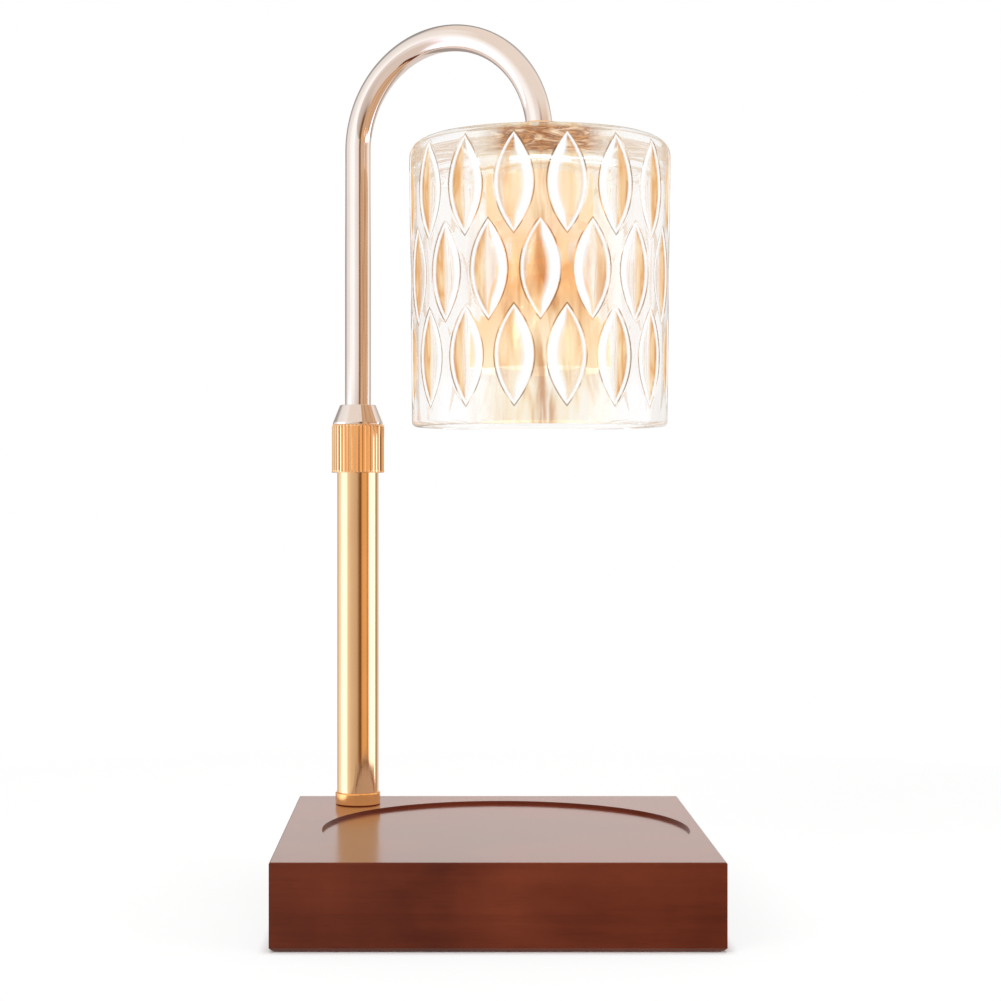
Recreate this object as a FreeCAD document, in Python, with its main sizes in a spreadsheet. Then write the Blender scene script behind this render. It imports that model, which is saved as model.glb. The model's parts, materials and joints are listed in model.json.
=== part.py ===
import FreeCAD, Part
import os
import re

import Sketcher
from FreeCAD import Placement, Rotation, Vector
from math import pi

# Candle warmer lamp: wooden base, telescopic column with a gooseneck arm, cut-glass shade, reflector bulb.
# Millimetres. The origin is the centre of the base, on the table. +Z is up and the front is -Y.

# The driving sizes. Each one can be changed by itself.
sizes = {
    # wooden base
    "base_side": 150.0,
    "base_height": 29.0,
    "base_bottom_chamfer": 1.0,
    "base_top_chamfer": 0.4,
    "recess_radius": 66.0,
    "recess_depth": 1.2,
    "recess_margin": 4.5,
    "cavity_length": 60.0,
    "cavity_width": 46.0,
    "cavity_depth": 15.0,
    "cavity_corner": 6.0,
    "cavity_side_wall": 9.0,
    "cavity_back_wall": 8.0,
    # bottom plate, its screws and the pads
    "plate_inset": 5.0,
    "plate_thickness": 2.0,
    "plate_clearance": 0.3,
    "plate_corner": 3.0,
    "plate_screw_inset": 13.0,
    "screw_radius": 1.6,
    "screw_head_radius": 3.3,
    "screw_length": 12.0,
    "pad_radius": 7.0,
    "pad_height": 0.5,
    "pad_inset": 19.0,
    # cord inlet in the back face
    "inlet_offset": 20.0,
    "inlet_height": 10.5,
    "inlet_radius": 5.0,
    "inlet_flange_radius": 6.6,
    "inlet_flange": 1.5,
    "cord_radius": 3.3,
    "grommet_stand_in": 1.0,
    # terminal block
    "block_length": 18.0,
    "block_width": 16.0,
    "block_height": 14.0,
    "block_distance": 17.0,
    "block_groove_width": 1.4,
    "block_groove_depth": 4.7,
    "pole_pitch": 8.0,
    "pole_radius": 2.0,
    "pole_wall": 0.7,
    "pole_sleeve_inset": 1.0,
    # column
    "column_left": 24.0,
    "column_back": 20.5,
    "column_radius": 8.0,
    "column_wall": 1.0,
    "column_length": 130.5,
    "foot_ring_radius": 8.7,
    "foot_ring_height": 4.8,
    "foot_ring_chamfer": 0.4,
    "plug_height": 8.5,
    "base_nipple_radius": 4.95,
    "base_nipple_bore": 2.6,
    "base_nipple_tail": 0.8,
    "base_washer_radius": 11.0,
    "base_washer_thickness": 1.5,
    "base_nut_flats": 17.0,
    "base_nut_height": 4.5,
    # collet and lock nut at the top of the column
    "spigot_length": 14.0,
    "collet_flange": 1.0,
    "collet_neck_radius": 7.5,
    "collet_neck_length": 10.0,
    "sleeve_wall": 1.15,
    "sleeve_seat": 2.0,
    "sleeve_head_radius": 6.8,
    "sleeve_head_length": 3.4,
    "sleeve_taper": 1.0,
    "sleeve_slit": 1.2,
    "clamp_ring_height": 2.0,
    "clamp_ring_wall": 1.0,
    "nut_radius": 10.2,
    "nut_length": 18.5,
    "nut_lip": 1.0,
    "nut_chamfer": 0.5,
    "knurl_count": 42,
    "knurl_depth": 0.55,
    "knurl_margin": 0.3,
    "knurl_share": 0.7,
    "cone_radius": 9.7,
    "cone_top_radius": 7.0,
    "cone_height": 7.7,
    "cone_land": 1.0,
    "cone_spigot": 0.5,
    "cone_spigot_radius": 7.0,
    # gooseneck arm
    "arm_radius": 5.0,
    "arm_wall": 1.0,
    "arm_turn": 30.0,
    "bend_radius": 39.6,
    "bend_height": 282.5,
    "arm_in_column": 43.0,
    "end_ring_radius": 6.4,
    "end_ring_height": 2.7,
    "bush_length": 12.0,
    "bush_land": 3.0,
    "bush_relief": 0.6,
    "snap_ring_radius": 6.2,
    "snap_ring_height": 1.5,
    "lead_radius": 2.0,
    "lead_bend": 5.5,
    "lead_inset": 1.0,
    # what clamps the shade to the arm
    "cap_radius": 24.0,
    "cap_edge": 1.2,
    "cap_plate": 1.7,
    "cap_boss_radius": 7.5,
    "cap_boss_height": 4.0,
    "cap_chamfer": 0.5,
    "gasket_thickness": 0.8,
    "gasket_radius": 22.0,
    "nipple_bore": 2.6,
    "bush_collar": 8.0,
    "bush_flange_radius": 18.0,
    "cup_radius": 20.0,
    "cup_height": 19.7,
    "cup_wall": 1.0,
    "cup_round": 3.0,
    "lock_washer_radius": 7.4,
    "lock_washer_thickness": 1.0,
    "nipple_nut_flats": 13.0,
    "nipple_nut_height": 4.5,
    "nipple_tail": 1.0,
    # glass shade
    "shade_height": 105.5,
    "shade_top_radius": 48.2,
    "shade_bottom_radius": 47.0,
    "shade_wall": 5.2,
    "shade_plate": 10.0,
    "shade_shoulder": 6.6,
    "shade_inner_round": 8.0,
    "shade_rim_round": 1.8,
    "shade_hole_radius": 5.5,
    "cut_rows": 3,
    "cuts_per_row": 16,
    "cut_length": 35.8,
    "cut_width": 14.6,
    "cut_depth": 1.8,
    "cut_first_row": 21.5,
    "cut_row_pitch": 30.0,
    "cut_turn": 9.1,
    # lampholder
    "bracket_thickness": 1.2,
    "bracket_width": 12.0,
    "bracket_half_span": 14.0,
    "bracket_foot": 7.0,
    "holder_radius": 14.5,
    "holder_height": 12.7,
    "holder_chamfer": 1.0,
    "holder_screw_distance": 10.0,
    "holder_screw_radius": 1.5,
    "holder_screw_head_radius": 2.6,
    "holder_screw_head_height": 2.0,
    "holder_screw_length": 7.0,
    "slot_mouth": 2.0,
    "contact_thickness": 0.8,
    "contact_width": 3.1,
    "wire_radius": 0.8,
    "wire_length": 3.5,
    "wire_distance": 1.4,
    # bulb
    "bulb_gap": 0.3,
    "pin_distance": 5.0,
    "pin_radius": 1.5,
    "pin_head_radius": 2.4,
    "pin_length": 7.0,
    "pin_head_height": 3.0,
    "pin_twist": 20.0,
    "bulb_base_radius": 10.5,
    "bulb_base_height": 14.0,
    "bulb_neck_radius": 12.5,
    "bulb_neck_bore": 6.0,
    "bulb_neck_height": 4.7,
    "bulb_taper_top": 7.0,
    "bulb_spigot": 5.0,
    "reflector_radius": 25.0,
    "reflector_height": 34.0,
    "reflector_wall": 1.3,
    "reflector_lip": 3.0,
    "lens_thickness": 1.6,
    "capsule_radius": 4.5,
    "capsule_length": 20.0,
    # clearances
    "running_fit": 0.05,
    "loose_fit": 0.3,
    "seat_gap": 0.3,
    "skirt_clearance": 0.2,
    "pin_clearance": 0.2,
}

# Places and sizes that follow from the driving ones, lowest first.
places = {
    # wooden base and what is in it
    "wood_bottom": "pad_height",
    "wood_top": "wood_bottom + base_height",
    "half_base": "base_side / 2",
    "recess_x": "half_base - recess_margin - recess_radius",
    "recess_floor": "wood_top - recess_depth",
    "plate_top": "wood_bottom + plate_thickness",
    "cavity_top": "plate_top + cavity_depth",
    "cavity_x": "-half_base + cavity_side_wall + cavity_length / 2",
    "cavity_y": "half_base - cavity_back_wall - cavity_width / 2",
    "plate_side": "base_side - 2 * plate_inset",
    "column_x": "-half_base + column_left",
    "column_y": "half_base - column_back",
    "block_x": "column_x + block_distance",
    "block_bottom": "cavity_top - block_height",
    "pole_z": "cavity_top - block_height / 2",
    "inlet_x": "-inlet_offset",
    # column
    "column_top": "wood_top + column_length",
    "column_bore": "column_radius - column_wall",
    "plug_top": "wood_top + plug_height",
    "washer_bottom": "cavity_top - base_washer_thickness",
    "base_nut_bottom": "washer_bottom - base_nut_height",
    "base_nipple_bottom": "base_nut_bottom - base_nipple_tail",
    "base_nipple_top": "plug_top - running_fit",
    "base_lead_z": "base_nipple_bottom - lead_bend",
    # collet and lock nut
    "collet_bottom": "column_top - spigot_length",
    "neck_bottom": "column_top + collet_flange",
    "neck_top": "neck_bottom + collet_neck_length",
    "sleeve_bore": "arm_radius + running_fit",
    "sleeve_radius": "sleeve_bore + sleeve_wall",
    "sleeve_bottom": "neck_bottom + sleeve_seat",
    "sleeve_top": "neck_top + sleeve_head_length",
    "sleeve_tip": "sleeve_head_radius - sleeve_taper",
    "clamp_bottom": "sleeve_top - clamp_ring_height + seat_gap / 2",
    "clamp_top": "clamp_bottom + clamp_ring_height",
    "sleeve_slope": "sleeve_taper / sleeve_head_length",
    "clamp_bore_low": "sleeve_tip + sleeve_slope * (sleeve_top - clamp_bottom) + seat_gap",
    "clamp_bore_high": "sleeve_tip + seat_gap",
    "clamp_radius": "clamp_bore_low + clamp_ring_wall",
    "pocket_radius": "clamp_radius + loose_fit / 2",
    "skirt_bore": "column_radius + skirt_clearance",
    "lip_bottom": "clamp_top + seat_gap",
    "lip_top": "lip_bottom + nut_lip",
    "nut_top": "lip_top + cone_spigot",
    "nut_bottom": "nut_top - nut_length",
    "thread_bottom": "neck_bottom + loose_fit",
    "pocket_bottom": "neck_top + loose_fit",
    "thread_radius": "collet_neck_radius + running_fit",
    "cone_bore": "arm_radius + loose_fit",
    # gooseneck arm
    "arm_bottom": "column_top - arm_in_column",
    "arm_bore": "arm_radius - arm_wall",
    "shade_x": "column_x + 2 * bend_radius * cos(arm_turn)",
    "shade_y": "column_y - 2 * bend_radius * sin(arm_turn)",
    "bush_bottom": "arm_bottom + end_ring_height + seat_gap",
    "bush_top": "bush_bottom + bush_length",
    "lead_bottom": "arm_bottom + lead_inset",
    # shade clamp, top to bottom
    "cap_bottom": "bend_height - cap_plate",
    "shade_top": "cap_bottom - gasket_thickness",
    "shade_bottom": "shade_top - shade_height",
    "ceiling": "shade_top - shade_plate",
    "cup_top": "ceiling - gasket_thickness",
    "cup_bottom": "cup_top - cup_height",
    "bracket_top": "cup_top - cup_wall",
    "lock_washer_top": "bracket_top - bracket_thickness",
    "nipple_nut_top": "lock_washer_top - lock_washer_thickness",
    "nipple_nut_bottom": "nipple_nut_top - nipple_nut_height",
    "nipple_bottom": "nipple_nut_bottom - nipple_tail",
    "nipple_top": "bend_height + cap_boss_height",
    "bend_drift": "bend_radius - sqrt(bend_radius^2 - cap_boss_height^2)",
    "cap_socket": "arm_radius + running_fit + bend_drift",
    "nipple_radius": "arm_bore - running_fit - bend_drift",
    "nipple_hole": "nipple_radius + running_fit",
    "sheath_end": "nipple_bottom - seat_gap",
    "holder_top": "sheath_end - wire_length",
    "holder_bottom": "holder_top - holder_height",
    "foot_top": "holder_top + bracket_thickness",
    # bulb
    "bulb_top": "holder_bottom - bulb_gap",
    "pin_top": "bulb_top + pin_length",
    "contact_bottom": "pin_top + seat_gap",
    "chamber_top": "contact_bottom + contact_thickness",
    "chamber_bottom": "holder_bottom + slot_mouth",
    "slot_radius": "pin_head_radius + pin_clearance",
    "mouth_radius": "pin_radius + pin_clearance",
    "bulb_base_bottom": "bulb_top - bulb_base_height",
    "reflector_bottom": "bulb_base_bottom - reflector_height",
    "lens_top": "reflector_bottom + lens_thickness",
    "reflector_rise": "reflector_height - reflector_lip",
    "reflector_depth": "reflector_rise / sqrt(1 - (bulb_neck_radius / reflector_radius)^2)",
    "lip_level": "reflector_bottom + reflector_lip",
    "capsule_tip": "bulb_base_bottom - bulb_spigot - capsule_length + capsule_radius",
    "wheel_radius": "(cut_length^2 / 4 + cut_depth^2) / (2 * cut_depth)",
}

doc = FreeCAD.newDocument("CandleWarmerLamp")
sheet = doc.addObject("Spreadsheet::Sheet", "Sizes")
for row, (alias, value) in enumerate(sizes.items(), start=1):
    sheet.set("A%d" % row, alias)
    sheet.set("B%d" % row, str(value))
    sheet.setAlias("B%d" % row, alias)
doc.recompute()

nodes = []
near = 0.01
upright = 0.99


def formula(text):
    """The expression for a formula in plain names: places are spelled out and sizes point at the sheet."""
    def spell(match):
        name = match.group(0)
        if name in places:
            return "(" + formula(places[name]) + ")"
        if name in sizes:
            return "Sizes." + name
        return name
    return re.sub(r"[A-Za-z_]\w*", spell, str(text))


def value(text):
    return float(sheet.evalExpression(formula(text)))


def bind(thing, **properties):
    """Binds properties to formulas. Base_x stands for Placement.Base.x, and turn for the turn about Z."""
    paths = {"Base_x": "Placement.Base.x", "Base_y": "Placement.Base.y", "Base_z": "Placement.Base.z",
             "turn": "Placement.Rotation.Angle"}
    for name, text in properties.items():
        thing.setExpression(paths.get(name, name), formula(text))
    return thing


def place(thing, x=0, y=0, z=0, turn=None, lying=False):
    """Places a thing, turned about Z by a formula, or lying with its own Z axis along +X."""
    rotation = Rotation(Vector(0, 1, 0), 90) if lying else Rotation(Vector(0, 0, 1), 1 if turn else 0)
    thing.Placement = Placement(Vector(0, 0, 0), rotation)
    bind(thing, Base_x=x, Base_y=y, Base_z=z)
    if turn:
        bind(thing, turn=turn)
    return thing


def keep(thing, label):
    thing.Label = label
    nodes.append(thing)
    return thing


def plane_of(body, role):
    return [item for item in body.Origin.OriginFeatures if item.Role == role][0]


def new_body(label, x=0, y=0, turn=None):
    body = doc.addObject("PartDesign::Body", label)
    place(body, x, y, 0, turn)
    return keep(body, label)


def new_sketch(body, role, name, height=None):
    sketch = body.newObject("Sketcher::SketchObject", name)
    sketch.AttachmentSupport = [(plane_of(body, role), "")]
    sketch.MapMode = "FlatFace"
    if height:
        sketch.setExpression("AttachmentOffset.Base.z", formula(height))
    return sketch


def fix_point(sketch, line, end, x, y):
    """Holds one end of a line at formulas x and y from the sketch's origin."""
    for kind, axis, text in (("DistanceX", -2, x), ("DistanceY", -1, y)):
        if str(text) == "0":
            sketch.addConstraint(Sketcher.Constraint("PointOnObject", line, end, axis))
            continue
        index = sketch.addConstraint(Sketcher.Constraint(kind, -1, 1, line, end, value(text)))
        sketch.setExpression("Constraints[%d]" % index, formula(text))


def draw_outline(sketch, corners):
    """A closed outline of straight lines through (x, y) formulas."""
    points = [Vector(value(x), value(y), 0) for x, y in corners]
    first = sketch.GeometryCount
    count = len(points)
    for i in range(count):
        sketch.addGeometry(Part.LineSegment(points[i], points[(i + 1) % count]), False)
    for i in range(count):
        following = first + (i + 1) % count
        sketch.addConstraint(Sketcher.Constraint("Coincident", first + i, 2, following, 1))
    for i, (x, y) in enumerate(corners):
        fix_point(sketch, first + i, 1, x, y)


def draw_circle(sketch, radius, x=0, y=0):
    centre = Vector(value(x), value(y), 0)
    index = sketch.addGeometry(Part.Circle(centre, Vector(0, 0, 1), value(radius)), False)
    fix_point(sketch, index, 3, x, y)
    radius_index = sketch.addConstraint(Sketcher.Constraint("Radius", index, value(radius)))
    sketch.setExpression("Constraints[%d]" % radius_index, formula(radius))


def turned(label, outline, x=0, y=0, turn=None):
    """A turned piece: an outline of (radius, height) corners, revolved about the piece's own Z axis."""
    body = new_body(label, x, y, turn)
    sketch = new_sketch(body, "XZ_Plane", label + "_outline")
    draw_outline(sketch, outline)
    revolution = body.newObject("PartDesign::Revolution", label + "_turned")
    revolution.Profile = sketch
    revolution.ReferenceAxis = (sketch, ["V_Axis"])
    revolution.Angle = 360
    doc.recompute()
    return body


def ring(label, bore, radius, bottom, top, x=0, y=0):
    return turned(label, [(bore, bottom), (radius, bottom), (radius, top), (bore, top)], x, y)


def pipe(label, profile_radii, start, path, x=0, y=0, turn=None):
    """A round bar or tube carried along a path, which is drawn in the XZ plane and starts upright."""
    body = new_body(label, x, y, turn)
    profile = new_sketch(body, "XY_Plane", label + "_section", start)
    for radius in profile_radii:
        draw_circle(profile, radius)
    spine = new_sketch(body, "XZ_Plane", label + "_path")
    count = path(spine)
    feature = body.newObject("PartDesign::AdditivePipe", label + "_pipe")
    feature.Profile = profile
    feature.Spine = (spine, ["Edge%d" % index for index in range(1, count + 1)])
    doc.recompute()
    return body


def padded(body, name, draw, start, length, cut=False, role="XY_Plane"):
    """Pads or pockets the loops that draw makes, from start and towards +X, +Y or +Z, across the plane."""
    along_y = role == "XZ_Plane"
    sketch = new_sketch(body, role, name + "_sketch", "-(%s)" % start if along_y else start)
    draw(sketch)
    feature = body.newObject("PartDesign::Pocket" if cut else "PartDesign::Pad", name)
    feature.Profile = sketch
    feature.Reversed = cut != along_y
    bind(feature, Length=length)
    doc.recompute()
    return feature


def repeated(body, name, feature, count):
    """Repeats a feature round the piece's own Z axis."""
    pattern = body.newObject("PartDesign::PolarPattern", name)
    pattern.Originals = [feature]
    pattern.Axis = ([item for item in body.Origin.OriginFeatures if item.Role == "Z_Axis"][0], [""])
    pattern.Angle = 360
    bind(pattern, Occurrences=count)
    body.Tip = pattern
    doc.recompute()
    return pattern


def circle_edges(shape, radius, height):
    """Names of the full circles with this radius at this height, in the piece's own frame."""
    names = []
    for index, edge in enumerate(shape.Edges, start=1):
        curve = edge.Curve
        if not isinstance(curve, Part.Circle) or abs(curve.Axis.z) < upright:
            continue
        if abs(curve.Radius - radius) < near and abs(curve.Center.z - height) < near:
            names.append("Edge%d" % index)
    return names


def level_edges(shape, height):
    names = []
    for index, edge in enumerate(shape.Edges, start=1):
        box = edge.BoundBox
        if abs(box.ZMin - height) < near and abs(box.ZMax - height) < near:
            names.append("Edge%d" % index)
    return names


def upright_edges(shape, low, high):
    names = []
    for index, edge in enumerate(shape.Edges, start=1):
        box = edge.BoundBox
        if abs(box.ZMin - low) < near and abs(box.ZMax - high) < near and box.XLength + box.YLength < near:
            names.append("Edge%d" % index)
    return names


def dress(body, kind, name, edges, size):
    """A fillet or chamfer on named edges of the body's last feature."""
    last = body.Tip
    feature = body.newObject("PartDesign::" + kind, name)
    feature.Base = (last, edges)
    bind(feature, **{"Radius" if kind == "Fillet" else "Size": size})
    doc.recompute()
    return feature


def rectangle(width, depth, x="0", y="0"):
    """Corner formulas of a rectangle centred on x, y."""
    left, right = "%s - (%s) / 2" % (x, width), "%s + (%s) / 2" % (x, width)
    front, back = "%s - (%s) / 2" % (y, depth), "%s + (%s) / 2" % (y, depth)
    return [(left, front), (right, front), (right, back), (left, back)]


def cylinder(name, radius, bottom, length, x=0, y=0, turn=None, lying=False):
    solid = doc.addObject("Part::Cylinder", name)
    bind(solid, Radius=radius, Height=length)
    return place(solid, x, y, bottom, turn, lying)


def box(name, width, depth, height, x, y, z):
    """A box centred on x and y, standing on z."""
    solid = doc.addObject("Part::Box", name)
    bind(solid, Length=width, Width=depth, Height=height)
    return place(solid, "%s - (%s) / 2" % (x, width), "%s - (%s) / 2" % (y, depth), z)


def cone(name, low_radius, high_radius, bottom, length, x=0, y=0):
    solid = doc.addObject("Part::Cone", name)
    bind(solid, Radius1=low_radius, Radius2=high_radius, Height=length)
    return place(solid, x, y, bottom)


def fused(name, solids):
    whole = doc.addObject("Part::MultiFuse", name)
    whole.Shapes = solids
    return whole


def cut(name, base, tools):
    rest = doc.addObject("Part::Cut", name)
    rest.Base = base
    rest.Tool = tools[0] if len(tools) == 1 else fused(name + "_tools", tools)
    return rest


def group(label, solids):
    """Identical pieces that share one node, as separate solids."""
    compound = doc.addObject("Part::Compound", label)
    compound.Links = solids
    return keep(compound, label)


def circle_at(radius, x=0, y=0):
    return lambda sketch: draw_circle(sketch, radius, x, y)


def rectangle_at(width, depth, x="0", y="0"):
    return lambda sketch: draw_outline(sketch, rectangle(width, depth, x, y))


def at_mid_sides(distance):
    """The middles of the four sides of a square."""
    return [(distance, "0"), ("-(%s)" % distance, "0"), ("0", distance), ("0", "-(%s)" % distance)]


def at_corners(distance):
    return [(x, y) for x in (distance, "-(%s)" % distance) for y in (distance, "-(%s)" % distance)]


plate_screws_at = at_mid_sides("half_base - plate_screw_inset")


# The wooden base, with the round recess, the wiring cavity and the cord inlet
def make_wood_base():
    body = new_body("wood_base")
    padded(body, "block", rectangle_at("base_side", "base_side"), "wood_bottom", "base_height")
    lowest = level_edges(body.Shape, value("wood_bottom"))
    dress(body, "Chamfer", "bottom_edge", lowest, "base_bottom_chamfer")
    dress(body, "Chamfer", "top_edge", level_edges(body.Shape, value("wood_top")), "base_top_chamfer")
    padded(body, "recess", circle_at("recess_radius", "recess_x", "-(recess_x)"), "recess_floor",
           "recess_depth", cut=True)
    padded(body, "plate_seat", rectangle_at("plate_side + 2 * plate_clearance",
                                            "plate_side + 2 * plate_clearance"),
           "wood_bottom", "plate_thickness", cut=True)
    padded(body, "cavity", rectangle_at("cavity_length", "cavity_width", "cavity_x", "cavity_y"),
           "plate_top", "cavity_depth", cut=True)
    dress(body, "Fillet", "cavity_corners",
          upright_edges(body.Shape, value("plate_top"), value("cavity_top")), "cavity_corner")
    padded(body, "column_hole", circle_at("base_nipple_radius + loose_fit", "column_x", "column_y"),
           "cavity_top", "wood_top - cavity_top", cut=True)
    inlet = ("inlet_x", "inlet_height")
    padded(body, "inlet_hole", circle_at("inlet_radius + running_fit", *inlet),
           "half_base - cavity_back_wall - grommet_stand_in", "cavity_back_wall + grommet_stand_in",
           cut=True, role="XZ_Plane")
    padded(body, "inlet_counterbore", circle_at("inlet_flange_radius + running_fit", *inlet),
           "half_base - inlet_flange", "inlet_flange", cut=True, role="XZ_Plane")
    for number, (x, y) in enumerate(plate_screws_at, start=1):
        padded(body, "screw_hole_%d" % number, circle_at("screw_radius + running_fit", x, y),
               "plate_top", "screw_length - plate_thickness + loose_fit", cut=True)


def make_bottom_plate():
    body = new_body("bottom_plate")
    padded(body, "sheet", rectangle_at("plate_side", "plate_side"), "wood_bottom", "plate_thickness")
    dress(body, "Fillet", "corners", upright_edges(body.Shape, value("wood_bottom"), value("plate_top")),
          "plate_corner")
    for number, (x, y) in enumerate(plate_screws_at, start=1):
        padded(body, "hole_%d" % number, circle_at("screw_radius + running_fit", x, y),
               "wood_bottom", "plate_thickness", cut=True)
    holes = circle_edges(body.Shape, value("screw_radius + running_fit"), value("wood_bottom"))
    dress(body, "Chamfer", "countersinks", holes, "screw_head_radius - screw_radius")


def make_plate_screws():
    screws = []
    for number, (x, y) in enumerate(plate_screws_at, start=1):
        head = cone("plate_screw_head_%d" % number, "screw_head_radius", "screw_radius", "wood_bottom",
                    "screw_head_radius - screw_radius", x, y)
        shank = cylinder("plate_screw_shank_%d" % number, "screw_radius", "wood_bottom", "screw_length", x, y)
        screws.append(fused("plate_screw_%d" % number, [head, shank]))
    group("plate_screws", screws)


def make_foot_pads():
    group("foot_pads", [cylinder("pad_%d" % number, "pad_radius", "0", "pad_height", x, y)
                        for number, (x, y) in enumerate(at_corners("half_base - pad_inset"), start=1)])


def make_cord_grommet():
    body = new_body("cord_grommet")
    barrel_start = "half_base - cavity_back_wall - grommet_stand_in"
    padded(body, "barrel", circle_at("inlet_radius", "inlet_x", "inlet_height"),
           barrel_start, "cavity_back_wall + grommet_stand_in", role="XZ_Plane")
    padded(body, "flange", circle_at("inlet_flange_radius", "inlet_x", "inlet_height"),
           "half_base - inlet_flange", "inlet_flange", role="XZ_Plane")
    padded(body, "cord_bore", circle_at("cord_radius", "inlet_x", "inlet_height"),
           barrel_start, "cavity_back_wall + grommet_stand_in", cut=True, role="XZ_Plane")


def make_terminal_block():
    body = new_body("terminal_block")
    middle = ("block_x + block_length / 2", "column_y")
    padded(body, "housing", rectangle_at("block_length", "block_width", *middle),
           "block_bottom", "block_height")
    padded(body, "groove", rectangle_at("block_length", "block_groove_width", *middle),
           "block_bottom", "block_groove_depth", cut=True)
    for side in (-1, 1):
        padded(body, "pole_%d" % (side + 1), circle_at("pole_radius + running_fit",
                                                     "column_y + %d * pole_pitch / 2" % side, "pole_z"),
               "block_x", "block_length", cut=True, role="YZ_Plane")


def make_terminal_sleeves():
    sleeves = []
    for side in (-1, 1):
        y = "column_y + %d * pole_pitch / 2" % side
        outer = cylinder("sleeve_outer_%d" % (side + 1), "pole_radius", "pole_z",
                         "block_length - 2 * pole_sleeve_inset", "block_x + pole_sleeve_inset", y, lying=True)
        inner = cylinder("sleeve_inner_%d" % (side + 1), "pole_radius - pole_wall", "pole_z", "block_length",
                         "block_x", y, lying=True)
        sleeves.append(cut("terminal_sleeve_%d" % (side + 1), outer, [inner]))
    group("terminal_sleeves", sleeves)


# The column, its foot and what bolts it to the base
def make_column():
    at = ("column_x", "column_y")
    ring("column_tube", "column_bore", "column_radius", "wood_top", "column_top", *at)
    turned("foot_ring", [("column_radius + running_fit", "wood_top"), ("foot_ring_radius", "wood_top"),
                         ("foot_ring_radius", "wood_top + foot_ring_height - foot_ring_chamfer"),
                         ("foot_ring_radius - foot_ring_chamfer", "wood_top + foot_ring_height"),
                         ("column_radius + running_fit", "wood_top + foot_ring_height")], *at)
    ring("column_plug", "base_nipple_radius + running_fit", "column_bore - running_fit",
         "wood_top", "plug_top", *at)
    ring("base_nipple", "base_nipple_bore", "base_nipple_radius",
         "base_nipple_bottom", "base_nipple_top", *at)
    ring("base_washer", "base_nipple_radius + running_fit", "base_washer_radius",
         "washer_bottom", "cavity_top", *at)
    hex_nut("base_nut", "base_nut_flats", "base_nipple_radius + running_fit",
            "base_nut_bottom", "base_nut_height", *at)


def hex_nut(label, flats, bore, bottom, height, x, y):
    prism = doc.addObject("Part::Prism", label + "_hexagon")
    prism.Polygon = 6
    bind(prism, Circumradius="(%s) / sqrt(3)" % flats, Height=height)
    place(prism, x, y, bottom)
    hole = cylinder(label + "_hole", bore, bottom, height, x, y)
    return keep(cut(label, prism, [hole]), label)


def base_lead_path(sketch):
    """Down through the nipple, a quarter bend, then along to the terminal block."""
    top, bend, low = value("plug_top"), value("lead_bend"), value("base_lead_z")
    bend_start, far_end = value("base_nipple_bottom"), value("block_distance")
    sketch.addGeometry(Part.LineSegment(Vector(0, top, 0), Vector(0, bend_start, 0)), False)
    circle = Part.Circle(Vector(bend, bend_start, 0), Vector(0, 0, 1), bend)
    sketch.addGeometry(Part.ArcOfCircle(circle, pi, 1.5 * pi), False)
    sketch.addGeometry(Part.LineSegment(Vector(bend, low, 0), Vector(far_end, low, 0)), False)
    sketch.addConstraint(Sketcher.Constraint("Tangent", 0, 2, 1, 1))
    sketch.addConstraint(Sketcher.Constraint("Tangent", 1, 2, 2, 1))
    sketch.addConstraint(Sketcher.Constraint("Horizontal", 2))
    fix_point(sketch, 0, 1, "0", "plug_top")
    fix_point(sketch, 0, 2, "0", "base_nipple_bottom")
    fix_point(sketch, 2, 2, "block_distance", "base_lead_z")
    return 3


def make_leads_in_base():
    pipe("base_lead", ["lead_radius"], "plug_top", base_lead_path, "column_x", "column_y")
    turned("column_lead", [("0", "plug_top"), ("lead_radius", "plug_top"),
                           ("lead_radius", "lead_bottom - seat_gap"), ("0", "lead_bottom - seat_gap")],
           "column_x", "column_y")


# The collet in the column's mouth and the lock nut that closes it on the arm
def make_collet():
    at = ("column_x", "column_y")
    fit, spigot = "arm_radius + loose_fit", "column_bore - running_fit"
    seat = "sleeve_radius + running_fit"
    turned("collet_body", [(fit, "collet_bottom"), (spigot, "collet_bottom"), (spigot, "column_top"),
                           ("column_radius", "column_top"), ("column_radius", "neck_bottom"),
                           ("collet_neck_radius", "neck_bottom"), ("collet_neck_radius", "neck_top"),
                           (seat, "neck_top"), (seat, "sleeve_bottom"), (fit, "sleeve_bottom")], *at)
    sleeve = turned("collet_sleeve", [("sleeve_bore", "sleeve_bottom"), ("sleeve_radius", "sleeve_bottom"),
                                      ("sleeve_radius", "neck_top"), ("sleeve_head_radius", "neck_top"),
                                      ("sleeve_tip", "sleeve_top"), ("sleeve_bore", "sleeve_top")], *at)
    padded(sleeve, "slit", rectangle_at("2 * sleeve_head_radius", "sleeve_slit", "sleeve_head_radius"),
           "sleeve_bottom", "sleeve_top - sleeve_bottom", cut=True)
    turned("clamp_ring", [("clamp_bore_low", "clamp_bottom"), ("clamp_radius", "clamp_bottom"),
                          ("clamp_radius", "clamp_top"), ("clamp_bore_high", "clamp_top")], *at)


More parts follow.
